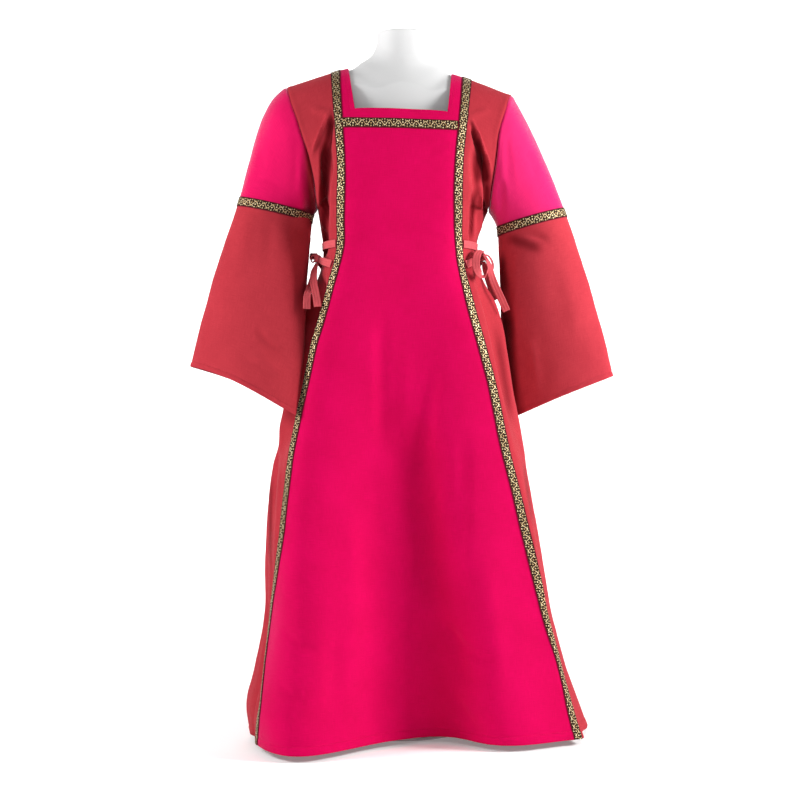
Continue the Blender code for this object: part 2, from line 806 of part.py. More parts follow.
def form_ring(half_width, front, back):
    """Points round a level of the form, from its right side over the back."""
    ring = []
    for i in range(FORM_SIDES):
        angle = math.tau * i / FORM_SIDES
        power = 2 / FORM_POWER
        wide = math.copysign(abs(math.cos(angle)) ** power, math.cos(angle)) * half_width
        deep = math.copysign(abs(math.sin(angle)) ** power, math.sin(angle))
        ring.append(Vector((FORM_X + wide, deep * (back if deep > 0 else front), 0)))
    return ring


def make_form():
    """The shell of the form, as one loft of rings from the top of the neck to the hips."""
    outline = form_ring(SHOULDER_HALF, SHOULDER_FRONT, SHOULDER_BACK)
    neck = []
    for i in range(FORM_SIDES):
        angle = math.tau * i / FORM_SIDES
        way = Vector((math.cos(angle), math.sin(angle), 0))
        neck.append(Vector((NECK_X, NECK_Y, 0)) + way * NECK_RADIUS)
    rings = []
    for inset, below in ((NECK_EDGE_ROUND, 0), (NECK_EDGE_STEP, NECK_EDGE_STEP), (0, NECK_EDGE_ROUND)):
        share = 1 - inset / NECK_RADIUS
        rings.append([Vector((mix(NECK_X, p.x, share), mix(NECK_Y, p.y, share), NECK_TOP - below)) for p in neck])
    for share in (0, 0.05, 0.13, 0.25, 0.38, 0.52, 0.68, 0.84, 1):
        ring = []
        for start, end in zip(neck, outline):
            place = start.lerp(end, share)
            reach = FLARE_SIDE - FLARE_LEAN * (start.x - NECK_X) / NECK_RADIUS
            reach = mix(reach, FLARE_BACK, max(0.0, (start.y - NECK_Y) / NECK_RADIUS))
            rise = RISE((place - start).length / reach)
            height = form_height(place.x, place.y) + rise
            ring.append(Vector((place.x, place.y, height)))
        rings.append(ring)
    for height, half_width, front, back in FORM_RINGS[1:]:
        rings.append([Vector((p.x, p.y, height)) for p in form_ring(half_width, front, back)])

    bm = bmesh.new()
    loops = []
    for ring in rings:
        verts = [bm.verts.new(p + Vector((0, TURN * p.x - AHEAD, 0))) for p in ring]
        loops.append([bm.edges.new((verts[i], verts[i - 1])) for i in range(FORM_SIDES)])
    for upper, lower in zip(loops, loops[1:]):
        bmesh.ops.bridge_loops(bm, edges=upper + lower)
    bmesh.ops.holes_fill(bm, edges=bm.edges)
    add_piece("form_torso", bm, "grey_shell")


POLE_RADIUS = 0.0125
BASE_RADIUS = 0.100
BASE_THICK = 0.006
FORM_BOTTOM = 0.602


def make_stand():
    """The pole under the shell, and the round base plate that the form stands on."""
    top = FORM_BOTTOM - GAP
    for name, radius, low, high, segments in (
        ("form_pole", POLE_RADIUS, BASE_THICK + GAP, top, 20),
        ("form_base", BASE_RADIUS, 0, BASE_THICK, 48),
    ):
        bm = bmesh.new()
        bmesh.ops.create_cone(bm, cap_ends=True, segments=segments, radius1=radius, radius2=radius, depth=high - low)
        bmesh.ops.translate(bm, vec=(0, 0, (high + low) / 2), verts=bm.verts)
        add_piece(name, bm, "grey_metal")


# The ties, flat ribbons of folded cloth. Each row of a table is a point of a ribbon's middle line, with y
# measured from the shoulder seams, and the way that the ribbon's width runs there.

TIE = 0.0012
TIE_CLEAR = 0.0009
UPPER_TIE = 0.775
FRONT_TIE = 0.743
BACK_TIE = 0.744
BACK_TIE_CLEAR = 0.0016
TIE_BULGE = 0.002
TIE_BACK_END = 0.50
# How far outside the trim the upper and the lower tie are sewn in
UPPER_TIE_START = 0.0014
FRONT_TIE_START = 0.0030
KNOT_SIZE = (0.011, 0.010, 0.013)
KNOT_ROUND = 0.003
# Where the lower ties reach the knot, from its middle, with x outwards
BEFORE_KNOT = (-0.002, -0.0057, -0.002)
BEHIND_KNOT = (0.001, 0.0059, -0.0045)

KNOTS = {"left": (-0.1300, -0.0290, 0.7550), "right": (0.1300, -0.0250, 0.7590)}

RIBBONS = {
    "loop_front_left": [
        "x y z width_x width_y width_z",
        (-0.1305, -0.0285, 0.7550, 0.1, 1.0, 0.1),
        (-0.1355, -0.0280, 0.7600, 0.0, 1.0, 0.2),
        (-0.1395, -0.0260, 0.7595, 0.1, 1.0, 0.1),
        (-0.1408, -0.0255, 0.7540, 0.1, 1.0, 0.0),
        (-0.1385, -0.0265, 0.7500, 0.1, 1.0, 0.0),
        (-0.1305, -0.0285, 0.7550, 0.1, 1.0, 0.1),
    ],
    "loop_back_left": [
        "x y z width_x width_y width_z",
        (-0.1300, -0.0275, 0.7580, 1.0, 0.1, 0.1),
        (-0.1355, -0.0190, 0.7640, 1.0, 0.2, 0.0),
        (-0.1375, -0.0100, 0.7650, 1.0, 0.2, 0.0),
        (-0.1385, -0.0060, 0.7600, 1.0, 0.2, 0.0),
        (-0.1380, -0.0095, 0.7560, 1.0, 0.2, 0.0),
        (-0.1358, -0.0190, 0.7575, 1.0, 0.2, 0.0),
        (-0.1300, -0.0275, 0.7580, 1.0, 0.1, 0.1),
    ],
    "loop_front_right": [
        "x y z width_x width_y width_z",
        (0.1300, -0.0260, 0.7625, 0.9, 0.3, -0.3),
        (0.1285, -0.0460, 0.7665, 0.9, 0.1, -0.2),
        (0.1205, -0.0640, 0.7590, 0.9, 0.0, -0.3),
        (0.1185, -0.0725, 0.7430, 1.0, 0.0, 0.1),
        (0.1225, -0.0745, 0.7300, 0.8, 0.3, 0.3),
        (0.1305, -0.0690, 0.7255, 0.3, 1.0, 0.2),
        (0.1370, -0.0570, 0.7350, 0.1, 1.0, 0.0),
        (0.1362, -0.0420, 0.7500, 0.3, 1.0, -0.3),
        (0.1300, -0.0260, 0.7625, 0.9, 0.3, -0.3),
    ],
    "loop_back_right": [
        "x y z width_x width_y width_z",
        (0.1305, -0.0250, 0.7585, 0.2, 1.0, 0.1),
        (0.1390, -0.0170, 0.7615, 0.2, 1.0, 0.2),
        (0.1465, -0.0120, 0.7530, 0.3, 1.0, 0.1),
        (0.1480, -0.0110, 0.7430, 0.3, 1.0, 0.0),
        (0.1445, -0.0130, 0.7400, 0.2, 1.0, 0.0),
        (0.1390, -0.0165, 0.7510, 0.2, 1.0, 0.0),
        (0.1305, -0.0250, 0.7585, 0.2, 1.0, 0.1),
    ],
    "tail_front_left": [
        "x y z width_x width_y width_z",
        (-0.1312, -0.0318, 0.7480, 0.8, -0.6, 0.1),
        (-0.1352, -0.0455, 0.7340, 0.9, -0.4, 0.1),
        (-0.1350, -0.0600, 0.7160, 1.0, -0.2, 0.1),
        (-0.1303, -0.0800, 0.6970, 1.0, 0.1, 0.1),
        (-0.1266, -0.0965, 0.6760, 1.0, 0.1, 0.1),
    ],
    "tail_back_left": [
        "x y z width_x width_y width_z",
        (-0.1325, -0.0240, 0.7479, 0.3, 1.0, 0.1),
        (-0.1380, -0.0290, 0.7290, 0.2, 1.0, 0.2),
        (-0.1400, -0.0500, 0.7120, 0.4, 1.0, 0.4),
        (-0.1437, -0.0770, 0.6940, 0.9, 0.4, 0.3),
        (-0.1440, -0.0880, 0.6730, 1.0, 0.2, 0.1),
    ],
    "tail_front_right": [
        "x y z width_x width_y width_z",
        (0.1362, -0.0275, 0.7590, 0.1, 1.0, 0.2),
        (0.1410, -0.0285, 0.7480, 0.5, 0.8, 0.2),
        (0.1445, -0.0290, 0.7300, 0.9, 0.3, 0.3),
        (0.1510, -0.0290, 0.7120, 0.9, 0.0, 0.4),
        (0.1600, -0.0270, 0.6930, 0.9, -0.1, 0.4),
        (0.1690, -0.0240, 0.6730, 0.9, -0.1, 0.4),
    ],
    "tail_back_right": [
        "x y z width_x width_y width_z",
        (0.1318, -0.0240, 0.7512, 0.9, -0.3, 0.1),
        (0.1370, -0.0110, 0.7385, 0.9, -0.4, 0.1),
        (0.1415, 0.0030, 0.7260, 0.9, -0.3, 0.1),
        (0.1470, 0.0125, 0.7120, 0.9, -0.1, 0.2),
        (0.1540, 0.0140, 0.6930, 0.9, 0.0, 0.3),
    ],
}


def middle_line(table, steps):
    """Smooth points along a ribbon's table, and the way that its width runs at each."""
    rows = table[1:]
    numbered = [table[0].replace("x y", "row x y", 1)] + [(i, *row) for i, row in enumerate(rows)]
    read = columns(numbered)
    line = []
    for i in range(steps + 1):
        row = i / steps * (len(rows) - 1)
        point = Vector([read[axis](row) for axis in "xyz"]) - Vector((0, AHEAD, 0))
        line.append((point, Vector([read["width_" + axis](row) for axis in "xyz"])))
    return line


def ribbon(name, line, start_width=1.0, end_width=1.0, ring=False):
    """A flat ribbon along a line of points, with its ends narrowed where a knot pinches them. ring joins them."""
    outer, inward = [], []
    for i, (point, width) in enumerate(line):
        way = i / (len(line) - 1)
        wide = TIE_WIDTH * min(mix(start_width, 1, ease(way / 0.3)), mix(end_width, 1, ease((1 - way) / 0.3)))
        last = len(line) - 1
        if ring and i in (0, last):
            along = line[1][0] - line[-2][0]
        else:
            along = line[min(i + 1, last)][0] - line[max(i - 1, 0)][0]
        face = width.cross(along).normalized()
        width = along.cross(face).normalized()
        row = [point + width * (wide * share) + face * (TIE / 2) for share in (-0.5, 0, 0.5)]
        outer.append(row)
        inward.append([-face * TIE] * 3)
    if ring:
        outer, inward = [list(points) for points in zip(*outer)], [list(ways) for ways in zip(*inward)]
    return cloth_wall(name, outer, inward, "coral", closed=ring)


def over_gown(face, acrosses, height, clear=TIE_CLEAR):
    """A line of points over the gown at one height, clear of its cloth."""
    line = []
    down = down_of(height)
    for across in acrosses:
        normal = gown_normal(face, across, down)
        up = gown(face, across, down - 0.02) - gown(face, across, down + 0.02)
        line.append((gown(face, across, down) + normal * (clear + TIE / 2), up.normalized()))
    return line


def make_ties(side):
    """The tie round the side of the waist, the two that meet in a bow below it, and the bow's tails."""
    sign = SIGN[side]
    down = down_of(UPPER_TIE)
    start = abs(beside_seam(side, down, TRIM_WIDTH / 2 + UPPER_TIE_START))
    front = [sign * gather(mix(spread(start, down), 0.99, i / 7), down) for i in range(8)]
    back = [sign * mix(0.985, TIE_BACK_END, (i / 8) ** 1.5) for i in range(9)]
    ribbon("tie_upper_" + side, over_gown("front", front, UPPER_TIE) + over_gown("back", back, UPPER_TIE))

    knot = Vector(KNOTS[side]) - Vector((0, AHEAD, 0))
    start = beside_seam(side, down_of(FRONT_TIE), TRIM_WIDTH / 2 + FRONT_TIE_START)
    point, up = over_gown("front", [start], FRONT_TIE)[0]
    ahead = knot + Vector((BEFORE_KNOT[0] * sign, *BEFORE_KNOT[1:]))
    line = []
    for i in range(7):
        bulge = Vector((0.5 * sign, -1, 0)) * (TIE_BULGE * math.sin(math.pi * i / 6))
        line.append((point.lerp(ahead, i / 6) + bulge, up.lerp(Vector((0, 0, 1)), i / 6)))
    ribbon("tie_front_" + side, line, 1, 0.6)

    line = over_gown("back", back, BACK_TIE, BACK_TIE_CLEAR)
    point, up = line[0]
    behind = knot + Vector((BEHIND_KNOT[0] * sign, *BEHIND_KNOT[1:]))
    between = [(behind.lerp(point, i / 3), Vector((0, 0, 1)).lerp(up, i / 3)) for i in range(3)]
    ribbon("tie_back_" + side, between + line, 0.6, 1)

    bm = bmesh.new()
    bmesh.ops.create_cube(bm, size=1)
    bmesh.ops.scale(bm, vec=KNOT_SIZE, verts=bm.verts)
    bmesh.ops.bevel(bm, geom=bm.edges, offset=KNOT_ROUND, segments=2, affect="EDGES")
    bmesh.ops.translate(bm, vec=knot, verts=bm.verts)
    bow = add_piece("bow_" + side, bm, "coral")
    for part_name in ("loop_front_", "loop_back_"):
        loop = ribbon(part_name + side, middle_line(RIBBONS[part_name + side], 14), 0.4, 0.4, ring=True)
        model.objects.unlink(loop)
        cutters.objects.link(loop)
        loop.hide_render = True
        loop.display_type = "WIRE"
        join = bow.modifiers.new(part_name, "BOOLEAN")
        join.operation = "UNION"
        join.solver = "EXACT"
        join.object = loop
    for part_name in ("tail_front_", "tail_back_"):
        ribbon(part_name + side, middle_line(RIBBONS[part_name + side], 9), 0.6, 1)


for old in list(bpy.data.objects):
    bpy.data.objects.remove(old)
model = bpy.data.collections.new("medieval_gown_on_form")
bpy.context.scene.collection.children.link(model)
cutters = bpy.data.collections.new("joined_loops")
bpy.context.scene.collection.children.link(cutters)

make_front()
make_back()
for side in SIGN:
    make_side_front(side)
make_trims()
for side in SIGN:
    make_sleeve(side)
    make_ties(side)
make_form()
make_stand()
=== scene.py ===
"""The looks of a child's medieval gown with flared sleeves, on a limbless dress form.

Metres, +Z up, the front faces -Y. Left and right are the viewer's. The gown's cloth lies on the same surface as
the frame's walls, worked out from the same tables, with finer folds, creases, hems and seams laid on it.
"""

import math

import bmesh
import bpy
import numpy as np
from mathutils import Matrix, Vector, noise


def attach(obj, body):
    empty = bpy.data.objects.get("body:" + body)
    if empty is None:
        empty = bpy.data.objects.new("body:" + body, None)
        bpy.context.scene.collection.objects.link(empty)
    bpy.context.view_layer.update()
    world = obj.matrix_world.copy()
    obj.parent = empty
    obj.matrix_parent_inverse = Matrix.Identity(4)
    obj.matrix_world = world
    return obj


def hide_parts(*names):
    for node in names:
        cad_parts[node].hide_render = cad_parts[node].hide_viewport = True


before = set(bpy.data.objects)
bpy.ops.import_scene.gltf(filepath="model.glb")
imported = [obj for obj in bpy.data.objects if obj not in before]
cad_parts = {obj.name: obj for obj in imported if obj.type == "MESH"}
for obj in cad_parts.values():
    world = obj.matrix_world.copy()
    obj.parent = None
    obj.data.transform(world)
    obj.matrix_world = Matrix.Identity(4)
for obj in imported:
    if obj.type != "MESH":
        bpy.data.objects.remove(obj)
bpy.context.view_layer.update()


# The camera stands level, a little above half of the gown's height, and frames it as the photograph does.

camera = bpy.data.objects.new("camera", bpy.data.cameras.new("camera"))
camera.location = (0, -2.63, 0.532)
camera.rotation_euler = (math.pi / 2, 0, 0)
camera.data.sensor_width = 36
camera.data.lens = 36 * 2.6 / 1.28
bpy.context.scene.collection.objects.link(camera)
bpy.context.scene.camera = camera
bpy.context.scene.view_settings.view_transform = "Standard"


# The free ends of the ties: strips of coral cotton twill, folded to a flat band 12 mm wide and topstitched,
# with their ends cut square and sewn shut. They hang from the bows at both sides of the waist.

AHEAD = 0.030
TIE_WIDTH = 0.012
TIE = 0.0012
TIE_STITCH = 0.0035
CORAL = "#E0636A"
CORAL_DARK = "#CC5058"

TAILS = {
    "tail_front_left": [
        "x y z width_x width_y width_z",
        (-0.1312, -0.0318, 0.748, 0.8, -0.6, 0.1),
        (-0.1352, -0.0455, 0.734, 0.9, -0.4, 0.1),
        (-0.135, -0.06, 0.716, 1, -0.2, 0.1),
        (-0.1303, -0.08, 0.697, 1, 0.1, 0.1),
        (-0.1266, -0.0965, 0.676, 1, 0.1, 0.1),
    ],
    "tail_back_left": [
        "x y z width_x width_y width_z",
        (-0.1325, -0.024, 0.7479, 0.3, 1, 0.1),
        (-0.138, -0.029, 0.729, 0.2, 1, 0.2),
        (-0.14, -0.05, 0.712, 0.4, 1, 0.4),
        (-0.1437, -0.077, 0.694, 0.9, 0.4, 0.3),
        (-0.144, -0.088, 0.673, 1, 0.2, 0.1),
    ],
    "tail_front_right": [
        "x y z width_x width_y width_z",
        (0.1362, -0.0275, 0.759, 0.1, 1, 0.2),
        (0.141, -0.0285, 0.748, 0.5, 0.8, 0.2),
        (0.1445, -0.029, 0.73, 0.9, 0.3, 0.3),
        (0.151, -0.029, 0.712, 0.9, 0, 0.4),
        (0.16, -0.027, 0.693, 0.9, -0.1, 0.4),
        (0.169, -0.024, 0.673, 0.9, -0.1, 0.4),
    ],
    "tail_back_right": [
        "x y z width_x width_y width_z",
        (0.1318, -0.024, 0.7512, 0.9, -0.3, 0.1),
        (0.137, -0.011, 0.7385, 0.9, -0.4, 0.1),
        (0.1415, 0.003, 0.726, 0.9, -0.3, 0.1),
        (0.147, 0.0125, 0.712, 0.9, -0.1, 0.2),
        (0.154, 0.014, 0.693, 0.9, 0, 0.3),
    ],
}


def curve(table, column):
    """Gives a smooth function of a table's first column that passes through one of its named columns."""
    index = table[0].split().index(column)
    rows = sorted(table[1:])
    at = [row[0] for row in rows]
    values = [row[index] for row in rows]
    slopes = []
    for i in range(len(rows)):
        low, high = max(i - 1, 0), min(i + 1, len(rows) - 1)
        slopes.append((values[high] - values[low]) / (at[high] - at[low]))

    def read(x):
        x = min(max(x, at[0]), at[-1])
        i = 0
        while i < len(at) - 2 and x > at[i + 1]:
            i += 1
        step = at[i + 1] - at[i]
        t = (x - at[i]) / step
        start = values[i] * (1 + 2 * t) * (1 - t) ** 2 + slopes[i] * step * t * (1 - t) ** 2
        end = values[i + 1] * t * t * (3 - 2 * t) - slopes[i + 1] * step * t * t * (1 - t)
        return start + end

    return read


def columns(table):
    return {name: curve(table, name) for name in table[0].split()[1:]}


def ease(x):
    x = min(max(x, 0.0), 1.0)
    return x * x * (3 - 2 * x)


def mix(a, b, share):
    return a + (b - a) * share


def colour(code):
    """A colour as written for screens, such as #C04050, as the linear values that shading works in."""
    values = [int(code[i:i + 2], 16) / 255 for i in (1, 3, 5)]
    return [v / 12.92 if v <= 0.04045 else ((v + 0.055) / 1.055) ** 2.4 for v in values] + [1]


def add_node(tree, kind, *inputs, named=None, **settings):
    """Adds a node with its settings. Inputs are values or outputs of other nodes, in order or named. A kind in
    capitals is the operation of a maths node."""
    if kind.isupper():
        kind, settings["operation"] = "Math", kind
    node = tree.nodes.new("ShaderNode" + kind)
    for setting, value in settings.items():
        setattr(node, setting, value)
    for key, value in [*enumerate(inputs), *(named or {}).items()]:
        if isinstance(value, bpy.types.NodeSocket):
            tree.links.new(value, node.inputs[key])
        elif value is not None:
            node.inputs[key].default_value = value
    return next(output for output in node.outputs if output.enabled)


def empty_material(name):
    made = bpy.data.materials.new(name)
    made.use_nodes = True
    made.node_tree.nodes.clear()
    return made, made.node_tree


# The fold value from which the painted shade in the cloth's colour is full
FULL_PAINTED_FOLD_SHADE = 0.92


def cloth_material(name, light, dark, deep, pitch=0.0013, sheen=0.25, tint="#FFFFFF"):
    """Matt cotton cloth: crossing threads, thick and thin places in them, a soft bloom.

    Painted shade: where folds shut the light out, and where ambient occlusion finds a hollow, the colour is mixed
    towards deep, the colour of the painted shade. The vertex values "painted_fold_shade" say how much in folds.
    The real threads lie 0.5 mm apart. They are drawn coarser, so that they don't shimmer at a distance. The colour
    goes from light to dark with their thickness and slowly over the cloth.
    """
    made, tree = empty_material(name)
    place = add_node(tree, "UVMap", uv_map="cloth")
    across = add_node(tree, "SeparateXYZ", place)
    turn = math.tau / pitch
    weft = add_node(tree, "SINE", add_node(tree, "MULTIPLY", across, turn))
    down = across.node.outputs["Y"]
    warp = add_node(tree, "SINE", add_node(tree, "MULTIPLY", down, turn))
    over = add_node(tree, "MULTIPLY", weft, warp)
    slubs = []
    for scale in ((60, 1500, 1), (1500, 60, 1)):
        stretched = add_node(tree, "VectorMath", place, scale, operation="MULTIPLY")
        slubs.append(add_node(tree, "TexNoise", named={"Vector": stretched, "Scale": 1, "Detail": 1}))
    thread = add_node(tree, "ADD", *slubs)
    cloudy = add_node(tree, "TexNoise", named={"Vector": place, "Scale": 14, "Detail": 3})
    share = add_node(tree, "ADD", thread, cloudy)
    share = add_node(tree, "MapRange", share, 1.05, 1.95, 0, 1)
    faint = add_node(tree, "MULTIPLY", over, 0.10)
    share = add_node(tree, "ADD", share, faint)
    paint = add_node(tree, "Mix", share, data_type="RGBA", named={6: colour(dark), 7: colour(light)})
    # Painted shade: occlusion and the fold values mix the cloth's colour towards its deep colour
    occlusion = add_node(tree, "AmbientOcclusion", samples=12, named={"Distance": 0.03})
    unoccluded = add_node(tree, "MapRange", occlusion.node.outputs["AO"], 0.15, 0.80, 0, 1)
    painted_fold_shade = add_node(tree, "Attribute", attribute_name="painted_fold_shade").node.outputs["Fac"]
    unshaded_by_folds = add_node(tree, "MapRange", painted_fold_shade, 0, FULL_PAINTED_FOLD_SHADE, 1, 0)
    unoccluded = add_node(tree, "MULTIPLY", unoccluded, unshaded_by_folds)
    paint = add_node(tree, "Mix", unoccluded, data_type="RGBA", named={6: colour(deep), 7: paint})
    thickness = add_node(tree, "MULTIPLY", thread, 1.6)
    height = add_node(tree, "ADD", over, thickness)
    bump = add_node(tree, "Bump", named={"Strength": 0.35, "Distance": 0.00035, "Height": height})
    shader = add_node(tree, "BsdfPrincipled", named={
        "Base Color": paint, "Normal": bump, "Roughness": 0.85, "Specular IOR Level": 0.06,
        "Sheen Weight": sheen, "Sheen Roughness": 0.30, "Sheen Tint": colour(tint)})
    add_node_output(tree, shader)
    return made


def add_node_output(tree, shader):
    output = tree.nodes.new("ShaderNodeOutputMaterial")
    tree.links.new(shader, output.inputs["Surface"])


def normals_of(points, side, closed=False):
    """Directions straight out of a grid of points. side is -1 where across x down points inwards."""
    if closed:
        points = np.concatenate([points[:, -2:-1], points, points[:, 1:2]], axis=1)
    out = np.cross(np.gradient(points, axis=1), np.gradient(points, axis=0)) * side
    if closed:
        out = out[:, 1:-1]
    return out / np.linalg.norm(out, axis=2, keepdims=True)


def run_lengths(points, axis):
    """How far along its row (axis 1) or down its column (axis 0) each point of a grid lies, over the cloth."""
    steps = np.linalg.norm(np.diff(points, axis=axis), axis=2)
    start = np.zeros_like(points.take([0], axis)[..., 0])
    return np.concatenate([start, np.cumsum(steps, axis=axis)], axis=axis)


def unroll(points, middle):
    """The flat place of each point, in metres: along its row from a middle column, and down that column."""
    along = run_lengths(points, 1)
    along = along - along[:, middle:middle + 1]
    down = run_lengths(points[:, middle:middle + 1], 0)
    return np.stack([along, np.broadcast_to(down, along.shape)], axis=2)


def mapped_grid(points, flat):
    """A mesh of a grid of points, with their flat places as the map "cloth"."""
    bm = bmesh.new()
    bmesh.ops.create_grid(bm, x_segments=points.shape[1] - 1, y_segments=points.shape[0] - 1, size=1)
    bm.verts.index_update()
    layer = bm.loops.layers.uv.new("cloth")
    places, maps = points.reshape(-1, 3).tolist(), flat.reshape(-1, 2).tolist()
    for vert, place in zip(bm.verts, places):
        vert.co = place
    for face in bm.faces:
        for loop in face.loops:
            loop[layer].uv = maps[loop.vert.index]
    return bm


CLOTH_SHARP = 55


def finish_piece(name, bm, material, sharp=CLOTH_SHARP):
    """Makes an object of a mesh, with smooth faces and sharp edges above an angle, and lets it ride."""
    mesh = bpy.data.meshes.new(name)
    bm.to_mesh(mesh)
    bm.free()
    mesh.materials.append(material)
    mesh.shade_smooth()
    mesh.set_sharp_from_angle(angle=math.radians(sharp))
    piece = bpy.data.objects.new(name, mesh)
    bpy.context.scene.collection.objects.link(piece)
    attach(piece, "root")
    return piece


def cloth_piece(name, points, flat, material, side, thick, holes=(), closed=False, painted_fold_shade=None):
    """A sheet of cloth: a grid laid on its outer points, and as thick inwards as the cloth.

    holes are the cells, as (row, column), that an opening leaves out. painted_fold_shade tells how much painted
    shade folds put on each point, fully from FULL_PAINTED_FOLD_SHADE on.
    """
    bm = mapped_grid(points, flat)
    # The painted shade of the folds is kept as a vertex value
    if painted_fold_shade is not None:
        deep = bm.verts.layers.float.new("painted_fold_shade")
        for vert, share in zip(bm.verts, painted_fold_shade.reshape(-1).tolist()):
            vert[deep] = share
    bm.faces.ensure_lookup_table()
    cells = points.shape[1] - 1
    bmesh.ops.delete(bm, geom=[bm.faces[row * cells + column] for row, column in holes], context="FACES")
    if closed:
        bmesh.ops.remove_doubles(bm, verts=bm.verts, dist=0.00002)
    if side < 0:
        bmesh.ops.reverse_faces(bm, faces=bm.faces)
    piece = finish_piece(name, bm, material)
    shell = piece.modifiers.new("thickness", "SOLIDIFY")
    shell.thickness = thick
    shell.offset = -1
    solid = bpy.data.meshes.new_from_object(piece.evaluated_get(bpy.context.evaluated_depsgraph_get()))
    piece.modifiers.clear()
    piece.data = solid
    solid.set_sharp_from_angle(angle=math.radians(CLOTH_SHARP))
    return piece


def middle_line(table, steps):
    """Smooth points along a ribbon's table, and the way that its width runs at each."""
    rows = table[1:]
    numbered = [table[0].replace("x y", "row x y", 1)] + [(i, *row) for i, row in enumerate(rows)]
    read = columns(numbered)
    line = []
    for i in range(steps + 1):
        row = i / steps * (len(rows) - 1)
        point = Vector([read[axis](row) for axis in "xyz"]) - Vector((0, AHEAD, 0))
        line.append((point, Vector([read["width_" + axis](row) for axis in "xyz"])))
    return line


# Half of a band's section, in shares of half its width and half its thickness, with its topstitched grooves
BAND_SECTION = [(-1, 0), (-0.96, 0.8), (-0.80, 1.0), (-0.50, 0.94), (-0.38, 0.40), (-0.26, 0.98), (0.26, 0.98),
                (0.38, 0.40), (0.50, 0.94), (0.80, 1.0), (0.96, 0.8)]
PINCH_REACH = 0.3
BUNCHED = 1.2
BUNCH_RIPPLE = 0.0004


def ribbon(name, line, material, start_width=1.0, end_width=1.0, ring=False):
    """A flat band of folded cloth along a line, with round edges, and narrowed and bunched at its pinched ends.

    The map "cloth" runs along the band and round it. ring joins its ends.
    """
    last = len(line) - 1
    around = BAND_SECTION + [(-a, -b) for a, b in BAND_SECTION]
    rows, flat = [], []
    length = 0.0
    for i, (point, wide_way) in enumerate(line):
        way = i / last
        narrow = min(mix(start_width, 1, ease(way / PINCH_REACH)),
                     mix(end_width, 1, ease((1 - way) / PINCH_REACH)))
        if ring and i in (0, last):
            along = line[1][0] - line[-2][0]
        else:
            along = line[min(i + 1, last)][0] - line[max(i - 1, 0)][0]
        face = wide_way.cross(along).normalized()
        wide_way = along.cross(face).normalized()
        if i:
            length += (point - line[i - 1][0]).length
        bunch = 1 + BUNCHED * (1 - narrow)
        row = []
        for a, b in around + around[:1]:
            ripple = BUNCH_RIPPLE * (1 - narrow) * math.sin(a * 9)
            row.append(point + wide_way * (a * TIE_WIDTH / 2 * narrow) + face * (b * TIE / 2 * bunch + ripple))
        rows.append([list(p) for p in row])
        flat.append([(length, TIE_WIDTH * 2 * k / len(around)) for k in range(len(around) + 1)])
    bm = mapped_grid(np.array(rows), np.array(flat))
    bmesh.ops.remove_doubles(bm, verts=bm.verts, dist=0.00001)
    bmesh.ops.holes_fill(bm, edges=bm.edges)
    bmesh.ops.recalc_face_normals(bm, faces=bm.faces)
    return finish_piece(name, bm, material, sharp=70)


# A sphere's poles are turned to lie along the thread
SPHERE_TURN = Matrix.Rotation(math.pi / 2, 4, "Y")


def stitches(name, line, material, step=0.0030, share=0.68, thread=0.00042):
    """A row of machine stitches along a line of points on cloth, each with the way out of the cloth."""
    places = np.array([list(p) for p, _ in line])
    outs = np.array([list(n) for _, n in line])
    runs = np.concatenate([[0], np.cumsum(np.linalg.norm(np.diff(places, axis=0), axis=1))])
    bm = bmesh.new()
    for i in range(int(runs[-1] / step)):
        middle = (i + 0.5) * step
        ends = [np.array([np.interp(middle + d, runs, places[:, k]) for k in range(3)])
                for d in (-step / 2, step / 2)]
        out = Vector([np.interp(middle, runs, outs[:, k]) for k in range(3)]).normalized()
        along = Vector(ends[1] - ends[0]).normalized()
        beside = along.cross(out).normalized()
        centre = Vector((ends[0] + ends[1]) / 2) + out * thread * 0.2
        frame_of = Matrix([(*(along * step * share / 2), 0), (*(beside * thread / 2), 0),
                           (*(out * thread * 0.55), 0), (*centre, 1)]).transposed()
        bmesh.ops.create_uvsphere(bm, u_segments=6, v_segments=4, radius=1, matrix=frame_of @ SPHERE_TURN)
    return finish_piece(name, bm, material, sharp=180)


TAIL_STEPS = 36
PINCHED_STEPS = 8

# The third colour of each cloth is its painted shade, that folds and hollows are darkened to
coral = cloth_material("coral_cotton_twill", CORAL, CORAL_DARK, "#98303A", pitch=0.0010, sheen=0.15)
coral_thread = cloth_material("coral_cotton_thread", "#F47A78", "#E56464", "#A84048", pitch=0.0006, sheen=0.1)

for name, table in TAILS.items():
    line = middle_line(table, TAIL_STEPS)
    tail = ribbon("cloth_" + name, line, coral, 0.6, 1)
    edge = []
    for i in range(PINCHED_STEPS, len(line)):
        along = (line[min(i + 1, TAIL_STEPS)][0] - line[i - 1][0]).normalized()
        face = line[i][1].cross(along).normalized()
        if face.y > 0:
            face = -face
        edge.append((line[i][0] + face * TIE * 0.5 + along.cross(face) * TIE_STITCH, face))
    across = (line[-1][1] - line[-1][1].dot(along) * along).normalized()
    end = line[-1][0] - along * 0.0022 + face * TIE * 0.5
    closing = [(end + across * TIE_WIDTH * s, face) for s in (-0.42, 0, 0.42)]
    seam = stitches("stitch_" + name, edge, coral_thread, 0.0026)
    shut = stitches("stitch_end_" + name, closing, coral_thread, 0.0022)
    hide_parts(name)


# The front: one panel of bright pink cotton from the shoulders to the hem, with a square neck cut out between
# two straps. The neck edge is faced and understitched, and the hem turned up 13 mm and stitched.

